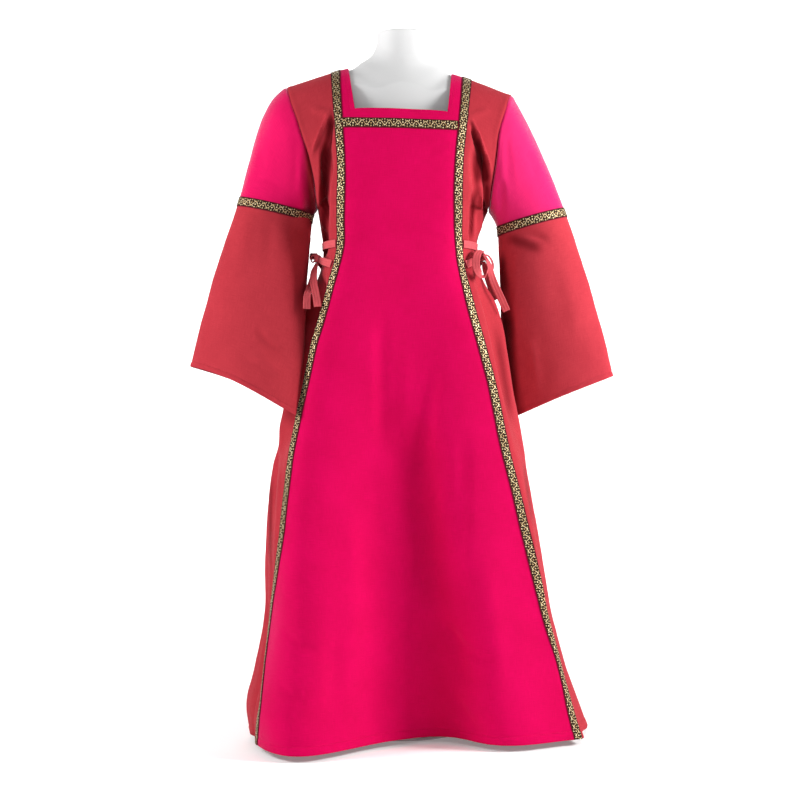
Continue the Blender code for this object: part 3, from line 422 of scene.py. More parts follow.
CLOTH = 0.0008
GAP = 0.0003
TRIM_WIDTH = 0.016
NECK_POINT = 1.060
SHOULDER_TIP = {"left": 1.021, "right": 1.028}
NECKLINE = 0.9838
CHEST = 0.880
UNDERARM = 0.836
HEM = 0.010
HEM_DEPTH = 0.013
HEM_RAISED = 0.0006
HEM_DIP = 0.0007
HEM_PUCKER = 0.00035
PUCKER_LENGTH = 0.021
HEM_ROLL = 0.0005
NECK_ROLL = 0.0004
TURN = 0.050
LIFT = 0.045
LIFT_FROM = 0.75
ARM_FRONT = 0.066
ARM_BACK = 0.058
NECK_EDGE = 0.080
SHOULDER_SOFT = 0.012
SIGN = {"left": -1, "right": 1}
PINK = "#DC0059"
PINK_DARK = "#CA004B"

SEAMS = [
    "height left right",
    (1.063, -0.1024, 0.107),
    (0.968, -0.0946, 0.0967),
    (0.901, -0.0908, 0.0911),
    (0.809, -0.0923, 0.09),
    (0.775, -0.092, 0.0915),
    (0.745, -0.0975, 0.0945),
    (0.7, -0.1095, 0.104),
    (0.655, -0.1215, 0.1155),
    (0.613, -0.1334, 0.127),
    (0.56, -0.1438, 0.141),
    (0.46, -0.1642, 0.161),
    (0.39, -0.173, 0.1786),
    (0.325, -0.1795, 0.194),
    (0.195, -0.199, 0.2265),
    (0.13, -0.206, 0.2445),
    (0.01, -0.217, 0.2745),
]

SIDES = [
    "height left right left_back right_back back",
    (0.836, -0.131, 0.141, 0, 0, 0.093),
    (0.805, -0.1265, 0.129, 0, 0, 0.089),
    (0.775, -0.122, 0.1225, 0, 0.002, 0.085),
    (0.745, -0.124, 0.1245, 0, 0.002, 0.086),
    (0.715, -0.134, 0.137, 0, 0.004, 0.092),
    (0.69, -0.142, 0.148, 0, 0.005, 0.099),
    (0.64, -0.157, 0.161, -0.002, 0.006, 0.112),
    (0.56, -0.171, 0.173, -0.004, 0.008, 0.13),
    (0.484, -0.186, 0.1875, -0.006, 0.012, 0.145),
    (0.388, -0.2005, 0.204, -0.01, 0.022, 0.158),
    (0.292, -0.2065, 0.219, -0.013, 0.034, 0.17),
    (0.196, -0.208, 0.236, -0.016, 0.046, 0.181),
    (0.11, -0.2235, 0.2595, -0.018, 0.055, 0.19),
    (0.06, -0.235, 0.2775, -0.02, 0.06, 0.196),
    (0.01, -0.23, 0.296, -0.02, 0.06, 0.202),
]

FRONTS = [
    "height left middle right edge square right_square",
    (0.88, -0.105, -0.105, -0.105, -0.105, 3.2, 3.2),
    (0.836, -0.103, -0.103, -0.103, -0.103, 3.4, 3.4),
    (0.775, -0.097, -0.096, -0.097, -0.097, 4, 4),
    (0.7, -0.106, -0.102, -0.105, -0.103, 4.2, 4.4),
    (0.64, -0.116, -0.103, -0.109, -0.105, 4.6, 7),
    (0.56, -0.128, -0.104, -0.115, -0.107, 5, 14),
    (0.484, -0.142, -0.104, -0.121, -0.109, 5.5, 20),
    (0.388, -0.16, -0.102, -0.128, -0.11, 5.5, 34),
    (0.292, -0.18, -0.1, -0.135, -0.111, 5.5, 90),
    (0.196, -0.202, -0.098, -0.143, -0.112, 5.5, 100),
    (0.11, -0.222, -0.096, -0.149, -0.112, 5.5, 60),
    (0.01, -0.237, -0.095, -0.156, -0.112, 5.5, 50),
]
LOBE_LEFT = -0.80
LOBE_RIGHT = 0.52
BACK_SQUARE = 2.6

ARMHOLE = [
    "turn left right",
    (0, -0.181, 0.181),
    (45, -0.172, 0.168),
    (75, -0.157, 0.1555),
    (105, -0.1415, 0.15),
    (135, -0.133, 0.144),
    (180, -0.131, 0.141),
]

FOLDS = [
    "panel top bottom start end top_width end_width out fade_in fade_out",
    ("side_front_left", 0.975, 0.79, 0.44, 0.54, 0.24, 0.36, -0.014, 0.06, 0.05),
    ("side_front_left", 0.735, 0.4, 0.44, 0.42, 0.36, 0.4, -0.026, 0.05, 0.18),
    ("side_front_left", 0.73, 0.01, 0.86, 0.8, 0.2, 0.22, 0.006, 0.08, 0),
    ("side_front_left", 0.33, 0.01, 0.34, 0.42, 0.22, 0.24, -0.012, 0.12, 0),
    ("side_front_right", 0.975, 0.79, 0.46, 0.56, 0.24, 0.36, -0.013, 0.06, 0.05),
    ("side_front_right", 0.735, 0.42, 0.5, 0.52, 0.3, 0.34, -0.014, 0.05, 0.16),
    ("side_front_right", 0.73, 0.01, 0.84, 0.82, 0.18, 0.2, 0.006, 0.06, 0),
    ("side_front_right", 0.33, 0.01, 0.44, 0.5, 0.24, 0.26, -0.01, 0.12, 0),
    ("back_panel", 0.74, 0.01, 0.2, 0.14, 0.09, 0.11, -0.014, 0.25, 0),
    ("back_panel", 0.74, 0.01, 0.34, 0.31, 0.09, 0.12, 0.012, 0.3, 0),
    ("back_panel", 0.74, 0.01, 0.45, 0.46, 0.08, 0.11, -0.014, 0.25, 0),
    ("back_panel", 0.74, 0.01, 0.57, 0.63, 0.08, 0.11, 0.012, 0.3, 0),
    ("back_panel", 0.74, 0.01, 0.7, 0.78, 0.09, 0.11, -0.013, 0.25, 0),
    ("back_panel", 0.83, 0.77, 0.16, 0.18, 0.06, 0.07, -0.008, 0.03, 0.02),
    ("back_panel", 0.83, 0.77, 0.84, 0.82, 0.06, 0.07, -0.008, 0.03, 0.02),
]

# Creases and soft folds laid on the front, in the view from straight ahead: where each starts and ends, how far
# it bows sideways, how far it reaches to each side, and how far it stands out (or lies in)
FRONT_CREASES = [
    "x z end_x end_z bow width out",
    (-0.031, 0.69, -0.028, 0.43, 0.003, 0.02, -0.003),
    (0.06, 0.62, 0.031, 0.38, -0.006, 0.022, -0.0045),
    (0.031, 0.42, 0.066, 0.15, -0.008, 0.03, -0.005),
    (0.096, 0.5, 0.088, 0.27, 0.004, 0.02, -0.0036),
    (0.01, 0.62, 0.002, 0.47, 0.003, 0.018, 0.0024),
    (0.063, 0.43, 0.06, 0.32, 0.002, 0.015, 0.0022),
    (-0.082, 0.4, -0.073, 0.08, 0.005, 0.026, 0.0028),
    (-0.182, 0.195, -0.092, 0.146, -0.006, 0.013, -0.0026),
    (-0.178, 0.118, -0.138, 0.082, -0.003, 0.009, -0.0022),
    (-0.168, 0.352, -0.139, 0.354, 0.001, 0.006, 0.0013),
    (-0.103, 0.2, -0.099, 0.04, 0.003, 0.02, -0.0024),
    (0.06, 0.2, 0.095, 0.09, 0.006, 0.022, -0.004),
    (0.052, 0.192, 0.158, 0.128, -0.01, 0.013, -0.0024),
    (0.018, 0.52, 0.066, 0.2, -0.004, 0.06, -0.011),
    (0.066, 0.3, 0.073, -0.22, 0, 0.075, -0.013),
    (0.072, 0.088, 0.126, 0.02, -0.006, 0.013, -0.0028),
    (0.176, 0.266, 0.2, 0.261, 0.002, 0.006, 0.0012),
    (0.178, 0.222, 0.214, 0.226, 0.002, 0.007, 0.0012),
    (0.125, 0.3, 0.15, 0.06, 0.006, 0.024, 0.0026),
    (-0.05, 0.76, 0.02, 0.735, -0.006, 0.012, -0.001),
    (0.02, 0.79, 0.075, 0.77, 0.006, 0.012, -0.001),
    (-0.075, 0.885, -0.03, 0.86, 0.004, 0.014, -0.0009),
    (0.035, 0.905, 0.078, 0.93, 0.004, 0.013, -0.0009),
    (-0.145, 0.99, -0.0935, 0.965, 0.001, 0.01, 0.0016),
    (-0.106, 0.985, -0.14, 0.908, 0, 0.0045, 0.0055),
    (-0.105, 0.978, -0.115, 0.91, 0, 0.0075, -0.011),
    (-0.114, 0.93, -0.119, 0.84, 0, 0.011, -0.018),
    (-0.119, 0.87, -0.1205, 0.75, 0, 0.009, -0.015),
    (-0.106, 0.895, -0.105, 0.785, 0, 0.0045, 0.002),
    (0.145, 0.99, 0.095, 0.964, -0.001, 0.01, 0.0014),
    (0.1095, 0.973, 0.145, 0.886, 0, 0.0045, 0.0055),
    (0.112, 0.962, 0.129, 0.9, 0, 0.007, -0.011),
    (0.125, 0.92, 0.137, 0.86, 0, 0.011, -0.018),
    (0.1365, 0.88, 0.1365, 0.82, 0, 0.009, -0.013),
    (0.133, 0.869, 0.124, 0.79, 0, 0.0045, 0.005),
    (0.115, 0.865, 0.1115, 0.77, 0, 0.0055, -0.01),
    (-0.195, 0.53, -0.2, 0.27, 0.002, 0.006, -0.0045),
    (-0.184, 0.47, -0.196, 0.24, 0.002, 0.005, 0.002),
    (-0.205, 0.23, -0.22, 0.02, 0.002, 0.006, -0.003),
    (0.195, 0.46, 0.218, 0.29, 0.002, 0.006, -0.0026),
    (0.235, 0.27, 0.27, 0.09, 0.003, 0.007, 0.0022),
    (-0.105, 0.765, -0.115, 0.71, 0.001, 0.005, 0.002),
    (0.105, 0.76, 0.115, 0.7, 0.001, 0.005, 0.002),
]

# Painted shade on the front: where its folds and the sleeves beside it shut the light out, in the same view, and
# how strongly the cloth is painted towards its deep colour
FRONT_PAINTED_FOLD_SHADE = [
    "x z end_x end_z bow width share",
    (0.018, 0.54, 0.066, 0.18, -0.004, 0.055, 0.22),
    (0.066, 0.3, 0.073, -0.22, 0, 0.07, 0.27),
    (-0.104, 0.98, -0.1134, 0.93, 0, 0.005, 0.6),
    (-0.118, 0.965, -0.134, 0.902, 0, 0.007, 0.3),
    (-0.114, 0.938, -0.118, 0.865, 0, 0.0095, 1),
    (-0.118, 0.89, -0.1205, 0.8, 0, 0.0105, 1.2),
    (-0.1205, 0.825, -0.119, 0.75, 0, 0.0075, 1),
    (0.11, 0.97, 0.119, 0.935, 0, 0.0045, 0.6),
    (0.118, 0.945, 0.13, 0.898, 0, 0.008, 1),
    (0.119, 0.925, 0.124, 0.865, 0, 0.009, 0.9),
    (0.127, 0.91, 0.137, 0.87, 0, 0.011, 1.2),
    (0.137, 0.88, 0.137, 0.82, 0, 0.009, 1.1),
    (0.115, 0.865, 0.1118, 0.78, 0, 0.006, 1),
    (0.1228, 0.872, 0.1165, 0.82, 0, 0.006, 0.45),
    (-0.203, 0.43, -0.201, 0.26, 0, 0.006, 0.6),
    (-0.15, 0.66, -0.172, 0.48, 0, 0.012, 0.5),
    (0.15, 0.66, 0.178, 0.48, 0, 0.012, 0.6),
    (0.193, 0.44, 0.208, 0.33, 0, 0.007, 0.45),
]

# The same kinds of creases on the back, which the photograph doesn't show
BACK_CREASES = [
    "x z end_x end_z bow width out",
    (-0.06, 0.76, -0.085, 0.48, -0.004, 0.018, -0.0035),
    (0, 0.74, 0.01, 0.45, 0.004, 0.02, 0.003),
    (0.055, 0.76, 0.08, 0.47, 0.005, 0.018, -0.0035),
    (-0.12, 0.74, -0.15, 0.42, -0.004, 0.014, 0.0026),
    (0.12, 0.74, 0.155, 0.42, 0.004, 0.014, 0.0026),
    (-0.02, 0.42, -0.04, 0.12, 0.004, 0.024, -0.0035),
    (0.07, 0.4, 0.11, 0.09, -0.006, 0.022, 0.003),
    (-0.12, 0.38, -0.16, 0.08, -0.004, 0.02, -0.003),
    (0.16, 0.36, 0.22, 0.1, 0.004, 0.018, -0.003),
    (-0.13, 0.87, -0.06, 0.8, -0.01, 0.012, -0.0026),
    (0.135, 0.87, 0.06, 0.8, 0.01, 0.012, -0.0026),
    (-0.12, 0.96, -0.07, 0.93, -0.003, 0.012, -0.0018),
    (0.12, 0.965, 0.07, 0.93, 0.003, 0.012, -0.0018),
    (-0.12, 0.785, -0.04, 0.76, -0.005, 0.007, 0.0018),
    (0.12, 0.785, 0.045, 0.762, 0.005, 0.007, 0.0018),
]

# Rows of the gown's fine grid, by the way down the armhole and then by height, closer together at the hem
ARM_STEPS = 96
NECK_ROW = 56
BACK_NECK_ROW = 48
BODY_STEP = 0.0040
HEM_ROWS = (0.026, 0.022, 0.019, 0.0165, 0.0148, 0.0138, 0.0130, 0.0122, 0.0112, 0.0095, 0.0070, 0.0045, 0.0024,
            0.0012, 0.0005, 0)

SEAM = columns(SEAMS)
SIDE = columns(SIDES)
FRONT = columns(FRONTS)
ARM = columns(ARMHOLE)
OPENING = columns(["height left right", (1.060, -0.0821, 0.0822), (NECKLINE, -0.0700, 0.0738)])
ARM_DROP = NECK_POINT - UNDERARM


# The gown's surface. "down" runs from 0 on the shoulder seam to 1 under the arm and on to the hem, and "across"
# from -1 at the left edge to 1 at the right edge of the front or of the back.

def height_of(down):
    if down < 1:
        return NECK_POINT - ARM_DROP * down * down
    return UNDERARM - 2 * ARM_DROP * (down - 1)


def down_of(height):
    if height > UNDERARM:
        return math.sqrt((NECK_POINT - height) / ARM_DROP)
    return 1 + (UNDERARM - height) / (2 * ARM_DROP)


def arm_turn(down):
    """The turn round the armhole, in degrees from the shoulder tip, that a row's edge lies at."""
    down = min(down, 1.0)
    return 180 * (0.5 * down + math.asin(down) / math.pi)


def edges(down):
    if down < 1:
        turn = arm_turn(down)
        return ARM["left"](turn), ARM["right"](turn)
    height = height_of(down)
    return SIDE["left"](height), SIDE["right"](height)


def fullness(down):
    """1 where the cloth ends at an armhole, and 0.5 where it rounds into the side."""
    return 1 - 0.5 * ease((down - 0.72) / 0.28)


def seam_share(side, down):
    left, right = edges(down)
    middle = (left + right) / 2
    return abs((SEAM[side](height_of(down)) - middle) / (right - middle))


def spread(share, down):
    return 1 - (1 - share) ** fullness(down)


def gather(step, down):
    return 1 - (1 - step) ** (1 / fullness(down))


def shoulder_slope(x, edge):
    def ramp(beyond):
        return (beyond + math.hypot(beyond, SHOULDER_SOFT)) / 2

    return ramp(abs(x) - NECK_EDGE) / ramp(abs(edge) - NECK_EDGE)


def front_reach(across, height):
    """How far forward the front would lie here if it didn't round into the sides."""
    chest = min(height, CHEST)
    stops = [LOBE_LEFT, 0.0, LOBE_RIGHT, 1.0]
    reach = [FRONT[name](chest) for name in ("left", "middle", "right", "edge")]
    if across <= stops[0]:
        return reach[0]
    i = max(k for k in range(3) if across >= stops[k])
    return mix(reach[i], reach[i + 1], ease((across - stops[i]) / (stops[i + 1] - stops[i])))


def shoulder_arc(height):
    if height <= CHEST:
        return 1.0
    rise = min((height - CHEST) / (NECK_POINT - CHEST), 1.0)
    return math.sqrt(1 - rise * rise)


def smooth_point(face, across, down):
    """A point of the gown before its folds, on its front or its back."""
    left, right = edges(down)
    height = height_of(down)
    x = mix(left, right, (across + 1) / 2)
    edge = right if x > 0 else left
    if down < 1:
        turn = math.radians(arm_turn(down))
        arm = -ARM_FRONT if face == "front" else ARM_BACK
        side = arm * math.sin(turn)
        tip = SHOULDER_TIP["right" if x > 0 else "left"]
        edge_height = (tip + UNDERARM) / 2 + (tip - UNDERARM) / 2 * math.cos(turn)
    else:
        side = mix(SIDE["left_back"](height), SIDE["right_back"](height), (across + 1) / 2)
        edge_height = height
    if face == "front":
        reach = front_reach(across, height) * shoulder_arc(height)
        square = FRONT["right_square" if across > 0 else "square"](min(height, CHEST))
    else:
        reach = SIDE["back"](min(height, UNDERARM)) * shoulder_arc(height)
        square = BACK_SQUARE
    share = min(abs(across), 1.0)
    y = side + (reach - side) * (1 - share ** square) ** fullness(down)
    z = height - (height - edge_height) * shoulder_slope(x, edge)
    z -= LIFT * x * max(0.0, (height - LIFT_FROM) / (NECK_POINT - LIFT_FROM)) ** 2
    return Vector((x, y + TURN * x - AHEAD, z))


def panel_of(face, across, down):
    """The panel that a point lies on, and how far across it, from its first seam to its second."""
    step = spread(abs(across), down)
    if face == "back":
        return "back_panel", (math.copysign(step, across) + 1) / 2
    side = "right" if across > 0 else "left"
    seam = spread(seam_share(side, down), down)
    if step > seam:
        return "side_front_" + side, (step - seam) / (1 - seam)
    return "front_panel", 0.5


def fold_depth(face, across, down):
    """How far the folds push the cloth out here."""
    panel, share = panel_of(face, across, down)
    height = height_of(down)
    total = 0.0
    for name, top, bottom, start, end, top_width, end_width, out, fade_in, fade_out in FOLDS[1:]:
        if name != panel or not bottom - 0.001 <= height <= top:
            continue
        way = (top - height) / (top - bottom)
        off = (share - mix(start, end, way)) / mix(top_width, end_width, way)
        if abs(off) >= 1:
            continue
        strength = ease((top - height) / fade_in)
        if fade_out:
            strength *= ease((height - bottom) / fade_out)
        total += out * strength * math.cos(off * math.pi / 2) ** 2
    return total


def gown(face, across, down):
    """A point of the gown's outer face, with its folds."""
    point = smooth_point(face, across, down)
    depth = fold_depth(face, across, down)
    if depth:
        step = 0.002 if across < 0 else -0.002
        along = smooth_point(face, across + step, down) - point
        if step < 0:
            along = -along
        out = Vector((along.y, -along.x, 0)).normalized()
        if face == "back":
            out = -out
        point = point + out * depth
    return point


def across_of(x, down):
    left, right = edges(down)
    return (2 * x - left - right) / (right - left)


def seam_across(side, down):
    return across_of(SEAM[side](height_of(down)), down)


def opening_across(side, down):
    """Where the neck opening's edge lies, or the line straight below it."""
    height = height_of(down)
    low = max(height, NECKLINE)
    return across_of(OPENING[side](low) + (SEAM[side](height) - SEAM[side](low)), down)


def beside_seam(side, down, distance):
    """How far across a point lies that is a distance outside a front seam, along the cloth."""
    seam = seam_across(side, down)
    step = 0.002 * SIGN[side]
    length = (smooth_point("front", seam + step, down) - smooth_point("front", seam - step, down)).length
    near = seam + SIGN[side] * distance * 0.004 / length
    length = (smooth_point("front", near, down) - smooth_point("front", seam, down)).length
    return seam + (near - seam) * abs(distance) / max(length, 0.000001)


def fine_rows():
    rows = [i / ARM_STEPS for i in range(ARM_STEPS + 1)]
    count = int((UNDERARM - HEM - HEM_ROWS[0]) / BODY_STEP)
    rows += [down_of(mix(UNDERARM, HEM + HEM_ROWS[0], i / count)) for i in range(1, count)]
    return rows + [down_of(HEM + rise) for rise in HEM_ROWS]


def soft(x):
    x = np.clip(x, 0, 1)
    return x * x * (3 - 2 * x)


def crease_depth(table, x, z):
    """How far the creases of a table push the cloth out at many places at once."""
    total = np.zeros_like(x)
    for start_x, start_z, end_x, end_z, bow, width, out in table[1:]:
        run = np.array([end_x - start_x, end_z - start_z])
        length = np.linalg.norm(run)
        run = run / length
        way = ((x - start_x) * run[0] + (z - start_z) * run[1]) / length
        off = (x - start_x) * -run[1] + (z - start_z) * run[0] - bow * 4 * way * (1 - way)
        inside = (way > 0) & (way < 1) & (np.abs(off) < width)
        ends = soft(np.minimum(way, 1 - way) / 0.3)
        total += np.where(inside, out * ends * np.cos(np.clip(off / width, -1, 1) * math.pi / 2) ** 2, 0)
    return total


# Slow and quick unevenness: size, height and a number that tells one kind from another
GOWN_RUMPLES = [(0.055, 0.0009, 3.0), (0.018, 0.0003, 11.0)]


def rumple(points, kinds):
    """The slight unevenness of hung cloth, the same in each run."""
    total = 0
    for size, height, seed in kinds:
        flat = points.reshape(-1, 3) / size + seed
        here = np.array([noise.noise(Vector(p)) for p in flat.tolist()]).reshape(points.shape[:2])
        total = total + height * here
    return total


def hem_depth(distance, along, depth):
    """The form of a turned and stitched hem: a raised band, a dip at its stitches, and a rounded edge."""
    raised = HEM_RAISED * (1 - soft((distance - depth + 0.001) / 0.002))
    dip = -HEM_DIP * np.exp(-((distance - depth) / 0.0012) ** 2)
    wave = np.sin(along * math.tau / PUCKER_LENGTH + 2 * np.sin(along * 37))
    pucker = HEM_PUCKER * wave * soft(1 - distance / (depth * 1.8))
    roll = -HEM_ROLL * (1 - soft(distance / 0.0012))
    return raised + dip + pucker + roll


def grid_of(layout, downs):
    """Places on the gown, as rows of (across, down)."""
    return [[(across, down) for across in layout(down)] for down in downs]


def gown_points(face, grid):
    """The gown's points at a grid of places, their ways out, how far creases move them and how high they are."""
    points = np.array([[list(gown(face, *place)) for place in row] for row in grid])
    out = normals_of(points, -1 if face == "front" else 1)
    table = FRONT_CREASES if face == "front" else BACK_CREASES
    rest = [[(1 - spread(min(abs(across), 1), down)) / SEAM_REST for across, down in row] for row in grid]
    ends = np.array(rest)
    depth = crease_depth(table, points[..., 0], points[..., 2]) * soft(ends)
    depth += rumple(points, GOWN_RUMPLES)
    heights = np.array([[height_of(down) for _, down in row] for row in grid])
    return points, out, depth, heights - HEM


def settle(points, out, depth):
    """Moves a grid's points out."""
    return points + out * depth[..., None]


def row_line(points, out, row, first=0, last=None):
    """A row of a grid as a line for stitches."""
    return [(Vector(p), Vector(n)) for p, n in zip(points[row][first:last], out[row][first:last])]


# The third colour of each cloth is its painted shade, that folds and hollows are darkened to
pink = cloth_material("bright_pink_cotton", PINK, PINK_DARK, "#9C0014", tint="#FF8FB8", sheen=0.35)
pink_thread = cloth_material("pink_cotton_thread", "#F4286F", "#D8004C", "#98002C", pitch=0.0006, sheen=0.1)

ROWS = fine_rows()
STRAP_CELLS = 8
FRONT_CELLS = 64
SEAM_REST = 0.06
HEM_STITCH_ROW = len(ROWS) - len(HEM_ROWS) + HEM_ROWS.index(HEM_DEPTH)


def front_layout(down):
    left, right = seam_across("left", down), seam_across("right", down)
    neck_left, neck_right = opening_across("left", down), opening_across("right", down)
    stops = [mix(left, neck_left, i / STRAP_CELLS) for i in range(STRAP_CELLS)]
    stops += [mix(neck_left, neck_right, i / FRONT_CELLS) for i in range(FRONT_CELLS)]
    return stops + [mix(neck_right, right, i / STRAP_CELLS) for i in range(STRAP_CELLS + 1)]


points, out, depth, above = gown_points("front", grid_of(front_layout, ROWS))
flat = unroll(points, STRAP_CELLS + FRONT_CELLS // 2)
depth = depth + hem_depth(above, flat[..., 0], HEM_DEPTH)

# The neck's edge is rounded over its facing
depth[NECK_ROW, STRAP_CELLS:-STRAP_CELLS] -= NECK_ROLL
for column in (STRAP_CELLS, -STRAP_CELLS - 1):
    depth[:NECK_ROW + 1, column] -= NECK_ROLL
points = settle(points, out, depth)
neck_hole = [(row, STRAP_CELLS + column) for row in range(NECK_ROW) for column in range(FRONT_CELLS)]
painted_fold_shade = crease_depth(FRONT_PAINTED_FOLD_SHADE, points[..., 0], points[..., 2])
front = cloth_piece("cloth_front_panel", points, flat, pink, -1, CLOTH, neck_hole, painted_fold_shade=painted_fold_shade)
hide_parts("front_panel")

hem = stitches("stitch_front_hem", row_line(points, out, HEM_STITCH_ROW), pink_thread)
under = NECK_ROW + 2
neck_line = row_line(points, out, under, 1, -1)
neck = stitches("stitch_neck_front", neck_line, pink_thread)
for side, column in (("left", STRAP_CELLS - 2), ("right", -STRAP_CELLS + 1)):
    line = [(Vector(points[row][column]), Vector(out[row][column])) for row in range(1, under)]
    stitches("stitch_strap_" + side, line, pink_thread)


# The side fronts: dusty raspberry cotton, each from the shoulder and armhole to the hem, sewn to the front under
# the trim. Above the waist a fold runs from the trim to the armpit, and below it the cloth falls in behind.

RASPBERRY = "#BC3742"
RASPBERRY_DARK = "#A72D38"
SIDE_CELLS = 30
SEAM_GROOVE = 0.0010

# The colour of the painted shade in the raspberry cloth's folds and hollows
RASPBERRY_PAINTED_SHADE = "#640A14"
RASPBERRY_BLOOM = "#FFA0A4"

raspberry = cloth_material("raspberry_cotton", RASPBERRY, RASPBERRY_DARK, RASPBERRY_PAINTED_SHADE, tint=RASPBERRY_BLOOM,
                           sheen=0.22)
# A lighter copy of the raspberry cloth for the right lower sleeve: painted light where the right lamp falls on it,
# with a little more sheen
painted_lit_raspberry = cloth_material("painted_lit_raspberry_cotton", "#C33D48", "#AE313D", RASPBERRY_PAINTED_SHADE,
                                tint=RASPBERRY_BLOOM, sheen=0.30)
raspberry_thread = cloth_material("raspberry_cotton_thread", "#C9505A", "#A8303C", "#560A12", pitch=0.0006,
                                  sheen=0.1)


def side_layout(side):
    def layout(down):
        first = spread(abs(seam_across(side, down)), down)
        steps = [SIGN[side] * gather(mix(first, 1, i / SIDE_CELLS), down) for i in range(SIDE_CELLS)]
        return sorted(steps + [SIGN[side] * 1.0])
    return layout


def groove(distance):
    """The dip along a seam, and the slight swell of the cloth turned back beside it."""
    return -SEAM_GROOVE * np.exp(-(distance / 0.0014) ** 2) + 0.0005 * np.exp(-((distance - 0.005) / 0.003) ** 2)


def edge_distance(points, column):
    """How far each point of a grid lies from an edge column, along its row."""
    along = run_lengths(points, 1)
    return np.abs(along - along[:, column:][:, :1])


for side in SIGN:
    points, out, depth, above = gown_points("front", grid_of(side_layout(side), ROWS))
    edge = 0 if side == "left" else SIDE_CELLS
    flat = unroll(points, SIDE_CELLS - edge)
    depth = depth + hem_depth(above, flat[..., 0], HEM_DEPTH) + groove(edge_distance(points, edge))
    points = settle(points, out, depth)
    painted_fold_shade = crease_depth(FRONT_PAINTED_FOLD_SHADE, points[..., 0], points[..., 2])
    panel = cloth_piece("cloth_side_front_" + side, points, flat, raspberry, -1, CLOTH, painted_fold_shade=painted_fold_shade)
    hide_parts("side_front_" + side)
    hem = stitches("stitch_side_hem_" + side, row_line(points, out, HEM_STITCH_ROW), raspberry_thread)


# The back: one panel of the same raspberry cotton, from side seam to side seam, with a low square neck that is
# faced and stitched. It hangs in soft flutes below the waist. The photograph doesn't show it.

BACK_CELLS = 96
NECK_CELLS = 40


def back_layout(down):
    low = min(down, 0.5)
    left, right = opening_across("left", low), opening_across("right", low)
    outer = (BACK_CELLS - NECK_CELLS) // 2
    first, last = spread(-left, down), spread(right, down)
    stops = [-1.0] + [-gather(mix(1, first, i / outer), down) for i in range(1, outer)]
    stops += [mix(left, right, i / NECK_CELLS) for i in range(NECK_CELLS)]
    return stops + [gather(mix(last, 1, i / outer), down) for i in range(outer)] + [1.0]


points, out, depth, above = gown_points("back", grid_of(back_layout, ROWS))
flat = unroll(points, BACK_CELLS // 2)
seam_dips = groove(edge_distance(points, 0)) + groove(edge_distance(points, BACK_CELLS))
points = settle(points, out, depth + hem_depth(above, flat[..., 0], HEM_DEPTH) + seam_dips)
outer = (BACK_CELLS - NECK_CELLS) // 2
neck_hole = [(row, outer + column) for row in range(BACK_NECK_ROW) for column in range(NECK_CELLS)]
back = cloth_piece("cloth_back_panel", points, flat, raspberry, 1, CLOTH, neck_hole)
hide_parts("back_panel")
hem = stitches("stitch_back_hem", row_line(points, out, HEM_STITCH_ROW), raspberry_thread)
neck_line = row_line(points, out, BACK_NECK_ROW + 2, outer - 1, -outer + 1)
neck = stitches("stitch_neck_back", neck_line, raspberry_thread)


# The trim: jacquard ribbon 16 mm wide, with a gold lurex scroll on a black ground between two dark red cords,
# sewn flat over both front seams and across the chest.

TRIM = 0.0010
TRIM_CELLS = 10
TRIM_REPEAT = 0.014
GOLD = "#FFEDBC"
GOLD_DARK = "#AA8250"
GROUND = "#24160E"
CORD = "#5A1420"


